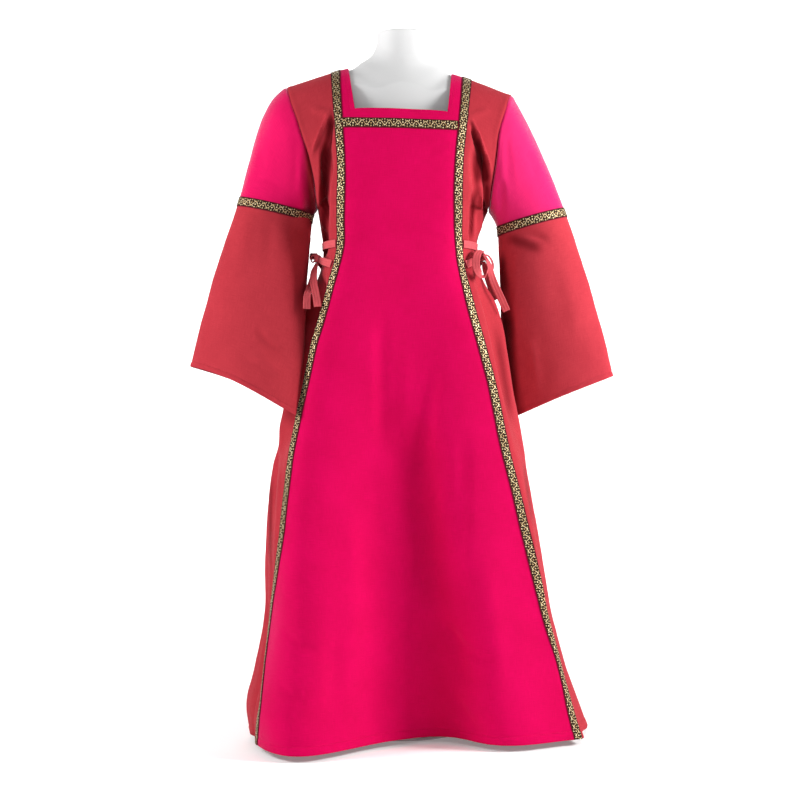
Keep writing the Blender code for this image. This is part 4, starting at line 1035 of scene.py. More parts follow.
def jacquard_material():
    """Woven ribbon: a gold vine with leaves at each bend, then a dark red cord along both edges.

    The map "cloth" runs along the ribbon and across it from its middle, in metres. The scroll is drawn in the
    first half of a repeat and turned over in the second. Gold threads are shiny and slightly raised.
    """
    made, tree = empty_material("gold_and_black_jacquard")
    place = add_node(tree, "UVMap", uv_map="cloth")
    along = add_node(tree, "SeparateXYZ", place)
    beside = along.node.outputs["Y"]
    repeats = add_node(tree, "MULTIPLY", along, 1 / TRIM_REPEAT)
    part = add_node(tree, "FRACT", repeats)
    half = add_node(tree, "MULTIPLY", add_node(tree, "GREATER_THAN", part, 0.5), -2)
    turned = add_node(tree, "ADD", half, 1)
    within = add_node(tree, "MODULO", part, 0.5)
    u = add_node(tree, "MULTIPLY", within, TRIM_REPEAT * 1000)
    v = add_node(tree, "MULTIPLY", add_node(tree, "MULTIPLY", beside, turned), 1000)
    spot = add_node(tree, "CombineXYZ", u, v, 0)

    # Distances in millimetres from the lines of the scroll
    wave = add_node(tree, "SINE", add_node(tree, "MULTIPLY", within, math.tau))
    vine = add_node(tree, "SUBTRACT", v, add_node(tree, "MULTIPLY", wave, 3.6))
    lines = [add_node(tree, "SUBTRACT", add_node(tree, "ABSOLUTE", vine), 1.1)]
    for x, y, thick in ((3.5, -1.2, 1.3), (3.2, -5.3, 1.15), (0.2, 4.6, 1.15), (6.8, 4.5, 1.2)):
        far = add_node(tree, "VectorMath", spot, (x, y, 0), operation="DISTANCE")
        lines.append(add_node(tree, "SUBTRACT", far.node.outputs["Value"], thick))
    nearest = lines[0]
    for line in lines[1:]:
        nearest = add_node(tree, "MINIMUM", nearest, line)
    ragged = add_node(tree, "TexNoise", named={"Vector": place, "Scale": 900, "Detail": 1})
    nearest = add_node(tree, "ADD", nearest, add_node(tree, "MULTIPLY", ragged, 0.9))
    gold = add_node(tree, "MapRange", nearest, 0.46, 0.26, 0, 1)
    gold.node.clamp = True

    # The cords along the edges, the shine and the twist of the threads, and painted glints that lighten the gold
    # at random
    out = add_node(tree, "ABSOLUTE", beside)
    cord = add_node(tree, "GREATER_THAN", out, 0.0066)
    inner = add_node(tree, "SUBTRACT", 1, cord)
    gold = add_node(tree, "MULTIPLY", gold, inner)
    slanted = add_node(tree, "VectorMath", place, (3800, 5200, 0), operation="DOT_PRODUCT")
    twist = add_node(tree, "SINE", slanted.node.outputs["Value"])
    shade = add_node(tree, "TexNoise", named={"Vector": place, "Scale": 420, "Detail": 2})
    painted_glint = add_node(tree, "MapRange", shade, 0.42, 0.60, 0, 1)
    thread = add_node(tree, "Mix", painted_glint, data_type="RGBA", named={6: colour(GOLD_DARK), 7: colour(GOLD)})
    ground = add_node(tree, "Mix", cord, data_type="RGBA", named={6: colour(GROUND), 7: colour(CORD)})
    paint = add_node(tree, "Mix", gold, data_type="RGBA", named={6: ground, 7: thread})
    metal = add_node(tree, "MULTIPLY", gold, 0.30)
    rough = add_node(tree, "MapRange", gold, 0, 1, 0.85, 0.42)
    height = add_node(tree, "ADD", gold, add_node(tree, "MULTIPLY", twist, 0.22))
    height = add_node(tree, "ADD", height, cord)
    bump = add_node(tree, "Bump", named={"Strength": 0.6, "Distance": 0.0004, "Height": height})
    shader = add_node(tree, "BsdfPrincipled", named={
        "Base Color": paint, "Normal": bump, "Metallic": metal, "Roughness": rough, "Specular IOR Level": 0.2})
    add_node_output(tree, shader)
    return made


jacquard = jacquard_material()


def strip_form(points, out, crosswise):
    """A ribbon's section: raised to lie on the cloth, fuller at its corded edges, and rounded off at them."""
    wide = np.abs(crosswise) / (TRIM_WIDTH / 2)
    swell = 0.00025 * np.exp(-((wide - 0.9) / 0.07) ** 2) - 0.0005 * soft((wide - 0.93) / 0.07)
    return points + out * (GAP + TRIM + swell)[..., None]


ACROSS_TRIM = [TRIM_WIDTH * (i / TRIM_CELLS - 0.5) for i in range(TRIM_CELLS + 1)]

for side in SIGN:
    def strip(down):
        return sorted(beside_seam(side, down, distance) for distance in ACROSS_TRIM)

    points, out, depth, above = gown_points("front", grid_of(strip, ROWS))
    depth = depth + hem_depth(above, np.zeros_like(depth), HEM_DEPTH)
    crosswise = np.broadcast_to(ACROSS_TRIM, depth.shape)
    points = strip_form(settle(points, out, depth), out, crosswise)
    flat = unroll(points, TRIM_CELLS // 2)
    flat = np.stack([flat[..., 1], crosswise], axis=2)
    trim = cloth_piece("ribbon_front_" + side, points, flat, jacquard, -1, TRIM)
    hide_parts("trim_front_" + side)

NECK_TRIM = (0.645, 0.698)
NECK_TRIM_CELLS = 60


def across_chest(down):
    left = beside_seam("left", down, -TRIM_WIDTH / 2 - GAP)
    right = beside_seam("right", down, -TRIM_WIDTH / 2 - GAP)
    return [mix(left, right, i / NECK_TRIM_CELLS) for i in range(NECK_TRIM_CELLS + 1)]


def level_row(down):
    """Places across the chest that lie on a straight line, though the rows beside them drop with the shoulders."""
    row = []
    height = height_of(down)
    for across in across_chest(down):
        here = down
        for _ in range(5):
            point = smooth_point("front", across, here)
            level = height - LIFT * point.x * ((height - LIFT_FROM) / (NECK_POINT - LIFT_FROM)) ** 2
            here += (point.z - level) / (2 * ARM_DROP * here)
        row.append((across, here))
    return row


chest_rows = [level_row(mix(*NECK_TRIM, i / TRIM_CELLS)) for i in range(TRIM_CELLS + 1)]
points, out, depth, above = gown_points("front", chest_rows)
crosswise = np.broadcast_to(np.array(ACROSS_TRIM)[:, None], depth.shape)
points = strip_form(settle(points, out, depth), out, crosswise)
flat = unroll(points, NECK_TRIM_CELLS // 2)
flat = np.stack([flat[..., 0], crosswise], axis=2)
trim = cloth_piece("ribbon_chest", points, flat, jacquard, -1, TRIM)
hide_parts("trim_neck")


# The sleeves: a narrow upper sleeve of the bright pink cotton set into the armhole, and a flared lower sleeve of
# the raspberry cotton with a slanted cuff, hemmed 8 mm deep. The trim runs round their seam.

SLEEVES = {
    "left": [
        "ring outer_x outer_y outer_z inner_x inner_y inner_z depth power",
        (1, -0.2572, -0.012, 0.8473, -0.1396, -0.008, 0.8199, 0.043, 2),
        (1.35, -0.2865, -0.014, 0.7548, -0.1475, -0.058, 0.7043, 0.042, 1.9),
        (1.7, -0.3122, -0.02, 0.6623, -0.149, -0.094, 0.6063, 0.036, 1.8),
        (2, -0.3308, -0.026, 0.5843, -0.1597, -0.124, 0.509, 0.03, 1.7),
    ],
    "right": [
        "ring outer_x outer_y outer_z inner_x inner_y inner_z depth power",
        (1, 0.2652, 0.012, 0.8326, 0.1565, 0.008, 0.8016, 0.043, 2),
        (1.35, 0.2932, 0.018, 0.7544, 0.162, 0.02, 0.7094, 0.042, 1.9),
        (1.7, 0.3205, 0.024, 0.6644, 0.1665, 0.04, 0.6213, 0.037, 1.8),
        (2, 0.3455, 0.03, 0.5708, 0.185, 0.062, 0.503, 0.033, 1.7),
    ],
}
CUFF_BOW = {"left": 0.010, "right": 0.003}
LEAVE = {"left": (1.00, -0.40), "right": (0.52, -0.85)}
CUFF_HEM = 0.008
TURNED_IN = 0.0022
BEHIND = 0.35
SLEEVE_TURNS = 96
SLEEVE_RUMPLES = [(0.050, 0.0010, 7.0), (0.017, 0.0003, 19.0)]
UPPER_ROWS = 48
LOWER_ROWS = 72

# Rows that lie closer together, where the upper sleeve is set in and over the last 12 mm of the cuff, with 0.33
# of a ring for 90 mm
SET_IN_ROWS = [0, 0.008, 0.02, 0.035]
SET_IN = 0.05
CUFF_FROM = 2 - 0.012 / 0.09 * 0.33
CUFF_ROWS = [0, 0.12, 0.22, 0.30, 0.36, 0.42, 0.55, 0.75, 0.88, 0.95, 1]

# Creases of the sleeves, in the view from straight ahead. They show less on the back.
SLEEVE_CREASES = {
    "left": [
        "x z end_x end_z bow width out",
        (-0.158, 0.96, -0.168, 0.86, 0.004, 0.012, -0.0016),
        (-0.215, 0.93, -0.225, 0.87, 0.003, 0.014, -0.0016),
        (-0.137, 0.93, -0.134, 0.8, 0, 0.022, -0.018),
        (-0.245, 0.88, -0.18, 0.868, 0.004, 0.009, -0.0012),
        (-0.152, 0.85, -0.147, 0.64, 0, 0.03, -0.014),
        (-0.205, 0.828, -0.214, 0.69, 0.004, 0.016, -0.0022),
        (-0.24, 0.835, -0.262, 0.7, 0.006, 0.018, 0.002),
        (-0.225, 0.65, -0.165, 0.592, -0.008, 0.016, -0.005),
        (-0.235, 0.606, -0.176, 0.566, 0.004, 0.013, 0.0036),
        (-0.292, 0.72, -0.302, 0.6, 0.002, 0.016, -0.0018),
    ],
    "right": [
        "x z end_x end_z bow width out",
        (0.166, 0.96, 0.176, 0.86, -0.003, 0.012, -0.0016),
        (0.2, 0.94, 0.222, 0.87, -0.003, 0.014, -0.0014),
        (0.156, 0.88, 0.162, 0.82, 0, 0.01, -0.004),
        (0.168, 0.8, 0.24, 0.782, 0.004, 0.01, -0.005),
        (0.16, 0.785, 0.164, 0.6, 0, 0.024, -0.015),
        (0.164, 0.68, 0.176, 0.52, 0, 0.018, -0.012),
        (0.255, 0.76, 0.285, 0.62, 0.004, 0.022, 0.002),
        (0.205, 0.64, 0.222, 0.54, 0.002, 0.014, 0.0022),
        (0.298, 0.72, 0.32, 0.6, 0.002, 0.016, -0.0014),
    ],
}

# Painted shade on the sleeves: where their folds shut the light out, and how strongly
SLEEVE_PAINTED_FOLD_SHADE = {
    "left": [
        "x z end_x end_z bow width share",
        (-0.142, 0.955, -0.137, 0.795, 0, 0.018, 0.95),
        (-0.143, 0.85, -0.143, 0.59, 0, 0.025, 0.1),
    ],
    "right": [
        "x z end_x end_z bow width share",
        (0.162, 0.775, 0.17, 0.69, 0, 0.01, 0.85),
        (0.169, 0.71, 0.179, 0.62, 0, 0.012, 0.6),
        (0.171, 0.67, 0.177, 0.51, 0, 0.009, 0.5),
        (0.162, 0.793, 0.232, 0.767, 0, 0.014, 0.62),
    ],
}

# Lighter copies of the pink cloth for the upper sleeves: painted light where the side lamps fall on them, the
# right one lighter, with a strong sheen. The left one's deep colour is a darker painted shade.
painted_lit_pink = {
    "left": cloth_material("painted_lit_pink_cotton_left", "#E2125F", "#D00A54", "#6C0814", tint="#FFD0E4", sheen=1.0),
    "right": cloth_material("painted_lit_pink_cotton_right", "#EC2C72", "#DA2066", "#9C0014", tint="#FFD0E4", sheen=1.0),
}

SLEEVE = {side: columns(table) for side, table in SLEEVES.items()}


def armhole_down(turn):
    """The row whose edge lies at a turn round the armhole."""
    low, high = 0.0, 1.0
    for _ in range(30):
        middle = (low + high) / 2
        if arm_turn(middle) < turn:
            low = middle
        else:
            high = middle
    return (low + high) / 2


def armhole_point(side, turn):
    face = "front" if turn <= 180 else "back"
    return gown(face, SIGN[side], armhole_down(min(turn, 360 - turn)))


def squared_off(value, power):
    """A sine or cosine raised to a power that keeps its sign, which makes a ring squarer or rounder."""
    return math.copysign(abs(value) ** power, value)


def sleeve_ring(side, turn, ring):
    """A point of the sleeve at or below the seam between upper and lower sleeve."""
    table = SLEEVE[side]
    outer = Vector([table["outer_" + axis](ring) for axis in "xyz"])
    inner = Vector([table["inner_" + axis](ring) for axis in "xyz"])
    half = (outer - inner) / 2
    forward = Vector((0, -1, 0))
    forward = (forward - half * forward.dot(half) / half.length_squared).normalized()
    angle = math.radians(turn)
    power = 2 / table["power"](ring)
    wide, deep = squared_off(math.cos(angle), power), squared_off(math.sin(angle), power)
    point = (outer + inner) / 2 + half * wide + forward * deep * table["depth"](ring)
    point.z += CUFF_BOW[side] * ease(ring - 1) * math.sin(angle) ** 2
    point.y -= AHEAD
    return point


def sleeve_line(side, turn):
    """A function that gives the points down the sleeve at one turn, from 0 at the armhole to 2 at the cuff."""
    angle = math.radians(turn)
    start = armhole_point(side, turn)
    end = sleeve_ring(side, turn, 1)
    length = (end - start).length
    top = (1 + math.cos(angle)) / 2
    out, fall = LEAVE[side]
    leave = Vector((SIGN[side] * mix(0.52, out, top), -0.25 * math.sin(angle), mix(-0.85, fall, top)))
    leave = leave.normalized() * length * 0.75
    arrive = (sleeve_ring(side, turn, 1.01) - end).normalized() * length

    def point_at(t):
        if t >= 1:
            return sleeve_ring(side, turn, t)
        point = start * (1 + 2 * t) * (1 - t) ** 2 + leave * t * (1 - t) ** 2
        return point + end * t * t * (3 - 2 * t) - arrive * t * t * (1 - t)

    return point_at


def sleeve_points(side, rows_of, turns):
    """A grid of a sleeve's points with its creases, each point's way out, how uneven it is, and how much painted
    shade its folds put on it. rows_of gives a turn's rows."""
    lines = []
    for turn in turns:
        point_at = sleeve_line(side, turn % 360)
        lines.append([list(point_at(t)) for t in rows_of(turn, point_at)])
    points = np.array(lines).transpose(1, 0, 2)
    points[:, -1] = points[:, 0]
    out = normals_of(points, SIGN[side], closed=True)
    depth = crease_depth(SLEEVE_CREASES[side], points[..., 0], points[..., 2])
    forward = np.where(out[..., 1] < 0, -1, BEHIND) * depth * soft(np.abs(out[..., 1]) * 2)
    points[..., 1] += forward * soft(down_distance(points, 0) / 0.03)
    out = normals_of(points, SIGN[side], closed=True)
    painted_fold_shade = crease_depth(SLEEVE_PAINTED_FOLD_SHADE[side], points[..., 0], points[..., 2]) * np.where(out[..., 1] < 0, 1, BEHIND)
    return points, out, rumple(points, SLEEVE_RUMPLES), painted_fold_shade


def trim_share(point_at, way):
    """How far along the sleeve half the trim's width reaches from its seam, up (-1) or down (1)."""
    step = 0.01
    return TRIM_WIDTH / 2 * step / (point_at(1 + way * step) - point_at(1)).length


def down_distance(points, row):
    """How far each point of a grid lies from one of its rows, down its column."""
    down = run_lengths(points, 0)
    return np.abs(down - down[row])


def upper_rows(turn, point_at):
    return SET_IN_ROWS + [mix(SET_IN, 1, i / UPPER_ROWS) for i in range(UPPER_ROWS + 1)]


def lower_rows(turn, point_at):
    rows = [mix(1, CUFF_FROM, i / LOWER_ROWS) for i in range(LOWER_ROWS)]
    return rows + [mix(CUFF_FROM, 2, share) for share in CUFF_ROWS]


def trim_rows(turn, point_at):
    above, below = trim_share(point_at, -1), trim_share(point_at, 1)
    return [1 + s * 2 * (below if s > 0 else above) for s in (a / TRIM_WIDTH for a in ACROSS_TRIM)]


TURNS = [360 * i / SLEEVE_TURNS for i in range(SLEEVE_TURNS + 1)]

for side in SIGN:
    points, out, depth, painted_fold_shade = sleeve_points(side, upper_rows, TURNS)
    depth = depth + groove(down_distance(points, 0))
    start = points[:1] - (points[1:2] - points[:1]) * 0.5 - out[:1] * TURNED_IN
    points = np.concatenate([start, points + out * depth[..., None]])
    painted_fold_shade = np.concatenate([painted_fold_shade[:1], painted_fold_shade])
    flat = unroll(points, SLEEVE_TURNS // 4)
    upper = cloth_piece("cloth_upper_sleeve_" + side, points, flat, painted_lit_pink[side], SIGN[side], CLOTH,
                        closed=True, painted_fold_shade=painted_fold_shade)
    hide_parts("upper_sleeve_" + side)

    points, out, depth, painted_fold_shade = sleeve_points(side, lower_rows, TURNS)
    flat = unroll(points, SLEEVE_TURNS // 4)
    distance = down_distance(points, -1)
    depth = depth + hem_depth(distance, flat[..., 0], CUFF_HEM)
    points = points + out * depth[..., None]
    cotton = {"left": raspberry, "right": painted_lit_raspberry}[side]
    lower = cloth_piece("cloth_lower_sleeve_" + side, points, flat, cotton, SIGN[side], CLOTH, closed=True,
                        painted_fold_shade=painted_fold_shade)
    line = []
    for column in range(SLEEVE_TURNS + 1):
        row = int(np.argmin(np.abs(distance[:, column] - CUFF_HEM)))
        line.append((Vector(points[row][column]), Vector(out[row][column])))
    hem = stitches("stitch_cuff_" + side, line, raspberry_thread)
    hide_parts("lower_sleeve_" + side)

    points, out, depth, _ = sleeve_points(side, trim_rows, TURNS)
    crosswise = np.broadcast_to(np.array(ACROSS_TRIM)[:, None], depth.shape)
    points = strip_form(points + out * depth[..., None], out, crosswise)
    flat = unroll(points, SLEEVE_TURNS // 4)
    flat = np.stack([flat[..., 0], crosswise], axis=2)
    trim = cloth_piece("ribbon_sleeve_" + side, points, flat, jacquard, SIGN[side], TRIM, closed=True)
    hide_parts("trim_sleeve_" + side)


# The ties: the same coral bands as their free ends. One is sewn in at the trim and runs round the side to the
# back. Below it one from the front and one from the back meet in a bow.

TIE_CLEAR = 0.0009
UPPER_TIE = 0.775
FRONT_TIE = 0.743
BACK_TIE = 0.744
BACK_TIE_CLEAR = 0.0016
TIE_BULGE = 0.002
TIE_BACK_END = 0.50
UPPER_TIE_START = 0.0014
FRONT_TIE_START = 0.0030
KNOT_SIZE = (0.0115, 0.0105, 0.0135)
BEFORE_KNOT = (-0.002, -0.0057, -0.002)
BEHIND_KNOT = (0.001, 0.0059, -0.0045)
KNOTS = {"left": (-0.1300, -0.0290, 0.7550), "right": (0.1300, -0.0250, 0.7590)}

LOOPS = {
    "loop_front_left": [
        "x y z width_x width_y width_z",
        (-0.1305, -0.0285, 0.755, 0.1, 1, 0.1),
        (-0.1355, -0.028, 0.76, 0, 1, 0.2),
        (-0.1395, -0.026, 0.7595, 0.1, 1, 0.1),
        (-0.1408, -0.0255, 0.754, 0.1, 1, 0),
        (-0.1385, -0.0265, 0.75, 0.1, 1, 0),
        (-0.1305, -0.0285, 0.755, 0.1, 1, 0.1),
    ],
    "loop_back_left": [
        "x y z width_x width_y width_z",
        (-0.13, -0.0275, 0.758, 1, 0.1, 0.1),
        (-0.1355, -0.019, 0.764, 1, 0.2, 0),
        (-0.1375, -0.01, 0.765, 1, 0.2, 0),
        (-0.1385, -0.006, 0.76, 1, 0.2, 0),
        (-0.138, -0.0095, 0.756, 1, 0.2, 0),
        (-0.1358, -0.019, 0.7575, 1, 0.2, 0),
        (-0.13, -0.0275, 0.758, 1, 0.1, 0.1),
    ],
    "loop_front_right": [
        "x y z width_x width_y width_z",
        (0.13, -0.026, 0.7625, 0.9, 0.3, -0.3),
        (0.1285, -0.046, 0.7665, 0.9, 0.1, -0.2),
        (0.1205, -0.064, 0.759, 0.9, 0, -0.3),
        (0.1185, -0.0725, 0.743, 1, 0, 0.1),
        (0.1225, -0.0745, 0.73, 0.8, 0.3, 0.3),
        (0.1305, -0.069, 0.7255, 0.3, 1, 0.2),
        (0.137, -0.057, 0.735, 0.1, 1, 0),
        (0.1362, -0.042, 0.75, 0.3, 1, -0.3),
        (0.13, -0.026, 0.7625, 0.9, 0.3, -0.3),
    ],
    "loop_back_right": [
        "x y z width_x width_y width_z",
        (0.1305, -0.025, 0.7585, 0.2, 1, 0.1),
        (0.139, -0.017, 0.7615, 0.2, 1, 0.2),
        (0.1465, -0.012, 0.753, 0.3, 1, 0.1),
        (0.148, -0.011, 0.743, 0.3, 1, 0),
        (0.1445, -0.013, 0.74, 0.2, 1, 0),
        (0.139, -0.0165, 0.751, 0.2, 1, 0),
        (0.1305, -0.025, 0.7585, 0.2, 1, 0.1),
    ],
}


def over_gown(face, acrosses, height, clear=TIE_CLEAR):
    """A line over the gown at one height, clear of its cloth, with the way that a band's width runs."""
    line = []
    down = down_of(height)
    for across in acrosses:
        inner = 0.0005 if across < 0 else -0.0005
        point = gown(face, across, down)
        along = (gown(face, across + inner, down) - point) * (1 if inner > 0 else -1)
        below = gown(face, across, down + 0.002) - point
        out = below.cross(along).normalized() * (1 if face == "front" else -1)
        depth = crease_depth(FRONT_CREASES if face == "front" else BACK_CREASES,
                             np.array([point.x]), np.array([point.z]))[0]
        up = gown(face, across, down - 0.02) - gown(face, across, down + 0.02)
        line.append((point + out * (clear + TIE / 2 + max(depth, 0)), up.normalized()))
    return line


def make_knot(name, knot):
    """A bow's knot: a tight lump of wrapped band, with the grooves between its turns."""
    bm = bmesh.new()
    bmesh.ops.create_uvsphere(bm, u_segments=28, v_segments=20, radius=0.5)
    layer = bm.loops.layers.uv.new("cloth")
    for vert in bm.verts:
        way = vert.co.normalized()
        square = (abs(way.x) ** 3 + abs(way.y) ** 3 + abs(way.z) ** 3) ** (-1 / 3)
        wrap = 1 + 0.05 * math.cos(way.z * 9 + way.x * 3) + 0.03 * math.sin(way.x * 11 + way.z * 5)
        vert.co = Vector([way[k] * square * wrap * KNOT_SIZE[k] / 2 for k in range(3)])
    for face in bm.faces:
        for loop in face.loops:
            loop[layer].uv = (loop.vert.co.x + loop.vert.co.y, loop.vert.co.z)
    bmesh.ops.translate(bm, vec=knot, verts=bm.verts)
    return finish_piece(name, bm, coral, sharp=80)


for side, sign in SIGN.items():
    down = down_of(UPPER_TIE)
    start = abs(beside_seam(side, down, TRIM_WIDTH / 2 + UPPER_TIE_START))
    over_front = [sign * gather(mix(spread(start, down), 0.99, i / 24), down) for i in range(25)]
    over_back = [sign * mix(0.985, TIE_BACK_END, (i / 30) ** 1.5) for i in range(31)]
    line = over_gown("front", over_front, UPPER_TIE) + over_gown("back", over_back, UPPER_TIE)
    tie = ribbon("band_upper_" + side, line, coral)
    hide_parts("tie_upper_" + side)

    knot = Vector(KNOTS[side]) - Vector((0, AHEAD, 0))
    start = beside_seam(side, down_of(FRONT_TIE), TRIM_WIDTH / 2 + FRONT_TIE_START)
    point, up = over_gown("front", [start], FRONT_TIE)[0]
    ahead = knot + Vector((BEFORE_KNOT[0] * sign, *BEFORE_KNOT[1:]))
    line = []
    for i in range(17):
        bulge = Vector((0.5 * sign, -1, 0)) * (TIE_BULGE * math.sin(math.pi * i / 16))
        line.append((point.lerp(ahead, i / 16) + bulge, up.lerp(Vector((0, 0, 1)), i / 16)))
    tie = ribbon("band_front_" + side, line, coral, 1, 0.6)
    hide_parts("tie_front_" + side)

    line = over_gown("back", over_back, BACK_TIE, BACK_TIE_CLEAR)
    point, up = line[0]
    behind = knot + Vector((BEHIND_KNOT[0] * sign, *BEHIND_KNOT[1:]))
    between = [(behind.lerp(point, i / 6), Vector((0, 0, 1)).lerp(up, i / 6)) for i in range(6)]
    tie = ribbon("band_back_" + side, between + line, coral, 0.6, 1)
    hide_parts("tie_back_" + side)

    bow = make_knot("knot_" + side, knot)
    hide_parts("bow_" + side)
    for which in ("loop_front_", "loop_back_"):
        loop = ribbon(which + side, middle_line(LOOPS[which + side], 44), coral, 0.4, 0.4, ring=True)
        loop.parent = bow


# The dress form: a moulded shell in matt light grey, lightly textured, from a flat-topped neck to the hips. Its
# shoulders follow the inside of the gown. It is made in one piece.

NECK_X = 0.008
NECK_Y = -0.006
NECK_RADIUS = 0.0448
NECK_TOP = 1.116
NECK_EDGE_ROUND = 0.003
FLARE_SIDE = 0.0365
FLARE_LEAN = 0.0078
FLARE_BACK = 0.024
FORM_X = 0.004
FORM_CLEAR = 0.0022
FORM_SIDES = 72
NECK_ROUND_STEPS = 6
BUST_RINGS = 32
FLARE_SHARES = (0, 0.02, 0.045, 0.075, 0.11, 0.15, 0.20, 0.26, 0.33, 0.41, 0.50, 0.60, 0.70, 0.80, 0.90, 1)
SHOULDER_HALF = 0.140
SHOULDER_FRONT = 0.066
SHOULDER_BACK = 0.062
FORM_POWER = 2.3
WALL = 0.0012

RISES = [
    "share rise",
    (0, 0.043),
    (0.1, 0.0295),
    (0.28, 0.0192),
    (0.6, 0.01),
    (0.76, 0.004),
    (0.88, 0.0004),
    (0.95, 0),
]
RISE = curve(RISES, "rise")

FORM_RINGS = [
    "height half_width front back",
    (0.975, 0.134, 0.072, 0.066),
    (0.925, 0.124, 0.08, 0.07),
    (0.855, 0.109, 0.084, 0.071),
    (0.795, 0.098, 0.074, 0.064),
    (0.745, 0.097, 0.07, 0.066),
    (0.69, 0.106, 0.072, 0.076),
    (0.645, 0.11, 0.074, 0.08),
    (0.615, 0.102, 0.068, 0.074),
    (0.602, 0.078, 0.05, 0.056),
]


def shell_material():
    """Moulded shell: matt light grey with the fine pebbled skin of the mould and faint clouding.

    It is painted lighter up the neck than in the bust, a painted highlight of the light from above, with faint
    clouding.
    """
    made, tree = empty_material("matt_grey_moulded_shell")
    place = add_node(tree, "TexCoord").node.outputs["Object"]
    cloudy = add_node(tree, "TexNoise", named={"Vector": place, "Scale": 22, "Detail": 3})
    height = add_node(tree, "SeparateXYZ", place).node.outputs["Z"]
    # Painted light: lighter towards the top of the neck
    painted_top_light_and_clouding = add_node(tree, "MapRange", height, 0.97, NECK_TOP, 0, 0.9)
    painted_top_light_and_clouding = add_node(tree, "ADD", painted_top_light_and_clouding, add_node(tree, "MULTIPLY", cloudy, 0.1))
    paint = add_node(tree, "Mix", painted_top_light_and_clouding, data_type="RGBA", named={6: colour("#C6C6C6"), 7: colour("#E4E4E4")})
    pebbles = add_node(tree, "TexNoise", named={"Vector": place, "Scale": 1400, "Detail": 2})
    rough = add_node(tree, "MapRange", pebbles, 0.3, 0.7, 0.5, 0.68)
    bump = add_node(tree, "Bump", named={"Strength": 0.12, "Distance": 0.0003, "Height": pebbles})
    shader = add_node(tree, "BsdfPrincipled", named={
        "Base Color": paint, "Normal": bump, "Roughness": rough, "Specular IOR Level": 0.15})
    add_node_output(tree, shader)
    return made


def gown_height(x, y):
    """Height of the gown above a place under its shoulders, with y measured from the shoulder seams."""
    face = "front" if y < 0 else "back"
    low, high = 0.0, 0.72
    for _ in range(18):
        down = (low + high) / 2
        across = min(max(across_of(x, down), -1), 1)
        point = smooth_point(face, across, down)
        if abs(point.y + AHEAD - TURN * x) < abs(y):
            low = down
        else:
            high = down
    return point.z


def form_height(x, y):
    """Height of the form there: under the gown's cloth, and clear of it."""
    step = 0.003
    height = gown_height(x, y)
    slope_x = (gown_height(x + step, y) - gown_height(x - step, y)) / (2 * step)
    slope_y = (gown_height(x, y + step) - gown_height(x, y - step)) / (2 * step)
    return height - (WALL + FORM_CLEAR) * math.sqrt(1 + slope_x ** 2 + slope_y ** 2)


def form_ring(half_width, front, back):
    ring = []
    for i in range(FORM_SIDES):
        angle = math.tau * i / FORM_SIDES
        wide = squared_off(math.cos(angle), 2 / FORM_POWER) * half_width
        deep = squared_off(math.sin(angle), 2 / FORM_POWER)
        ring.append(Vector((FORM_X + wide, deep * (back if deep > 0 else front), 0)))
    return ring


outline = form_ring(SHOULDER_HALF, SHOULDER_FRONT, SHOULDER_BACK)
neck = []
for i in range(FORM_SIDES):
    angle = math.tau * i / FORM_SIDES
    neck.append(Vector((NECK_X, NECK_Y, 0)) + Vector((math.cos(angle), math.sin(angle), 0)) * NECK_RADIUS)
rings = []
for i in range(NECK_ROUND_STEPS + 1):
    turn = math.pi / 2 * i / NECK_ROUND_STEPS
    inset = NECK_EDGE_ROUND * (1 - math.sin(turn))
    share = 1 - inset / NECK_RADIUS
    height = NECK_TOP - NECK_EDGE_ROUND * (1 - math.cos(turn))
    rings.append([Vector((mix(NECK_X, p.x, share), mix(NECK_Y, p.y, share), height)) for p in neck])
for share in FLARE_SHARES:
    ring = []
    for start, end in zip(neck, outline):
        spot = start.lerp(end, share)
        reach = FLARE_SIDE - FLARE_LEAN * (start.x - NECK_X) / NECK_RADIUS
        reach = mix(reach, FLARE_BACK, max(0.0, (start.y - NECK_Y) / NECK_RADIUS))
        rise = RISE((spot - start).length / reach)
        ring.append(Vector((spot.x, spot.y, form_height(spot.x, spot.y) + rise)))
    rings.append(ring)
sizes = columns(FORM_RINGS)
for i in range(1, BUST_RINGS + 1):
    height = mix(FORM_RINGS[1][0], FORM_RINGS[-1][0], i / BUST_RINGS)
    ring = form_ring(*(sizes[name](height) for name in ("half_width", "front", "back")))
    rings.append([Vector((p.x, p.y, height)) for p in ring])
bm = bmesh.new()
loops = []
for ring in rings:
    verts = [bm.verts.new(p + Vector((0, TURN * p.x - AHEAD, 0))) for p in ring]
    loops.append([bm.edges.new((verts[i], verts[i - 1])) for i in range(FORM_SIDES)])
for upper, lower in zip(loops, loops[1:]):
    bmesh.ops.bridge_loops(bm, edges=upper + lower)
bmesh.ops.holes_fill(bm, edges=bm.edges)
bmesh.ops.recalc_face_normals(bm, faces=bm.faces)
torso = finish_piece("shell_torso", bm, shell_material(), sharp=60)
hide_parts("form_torso")


# The stand: a steel tube pole in a turned socket on a round steel base plate, powder coated light grey. The
# pole goes up into a collar under the shell.

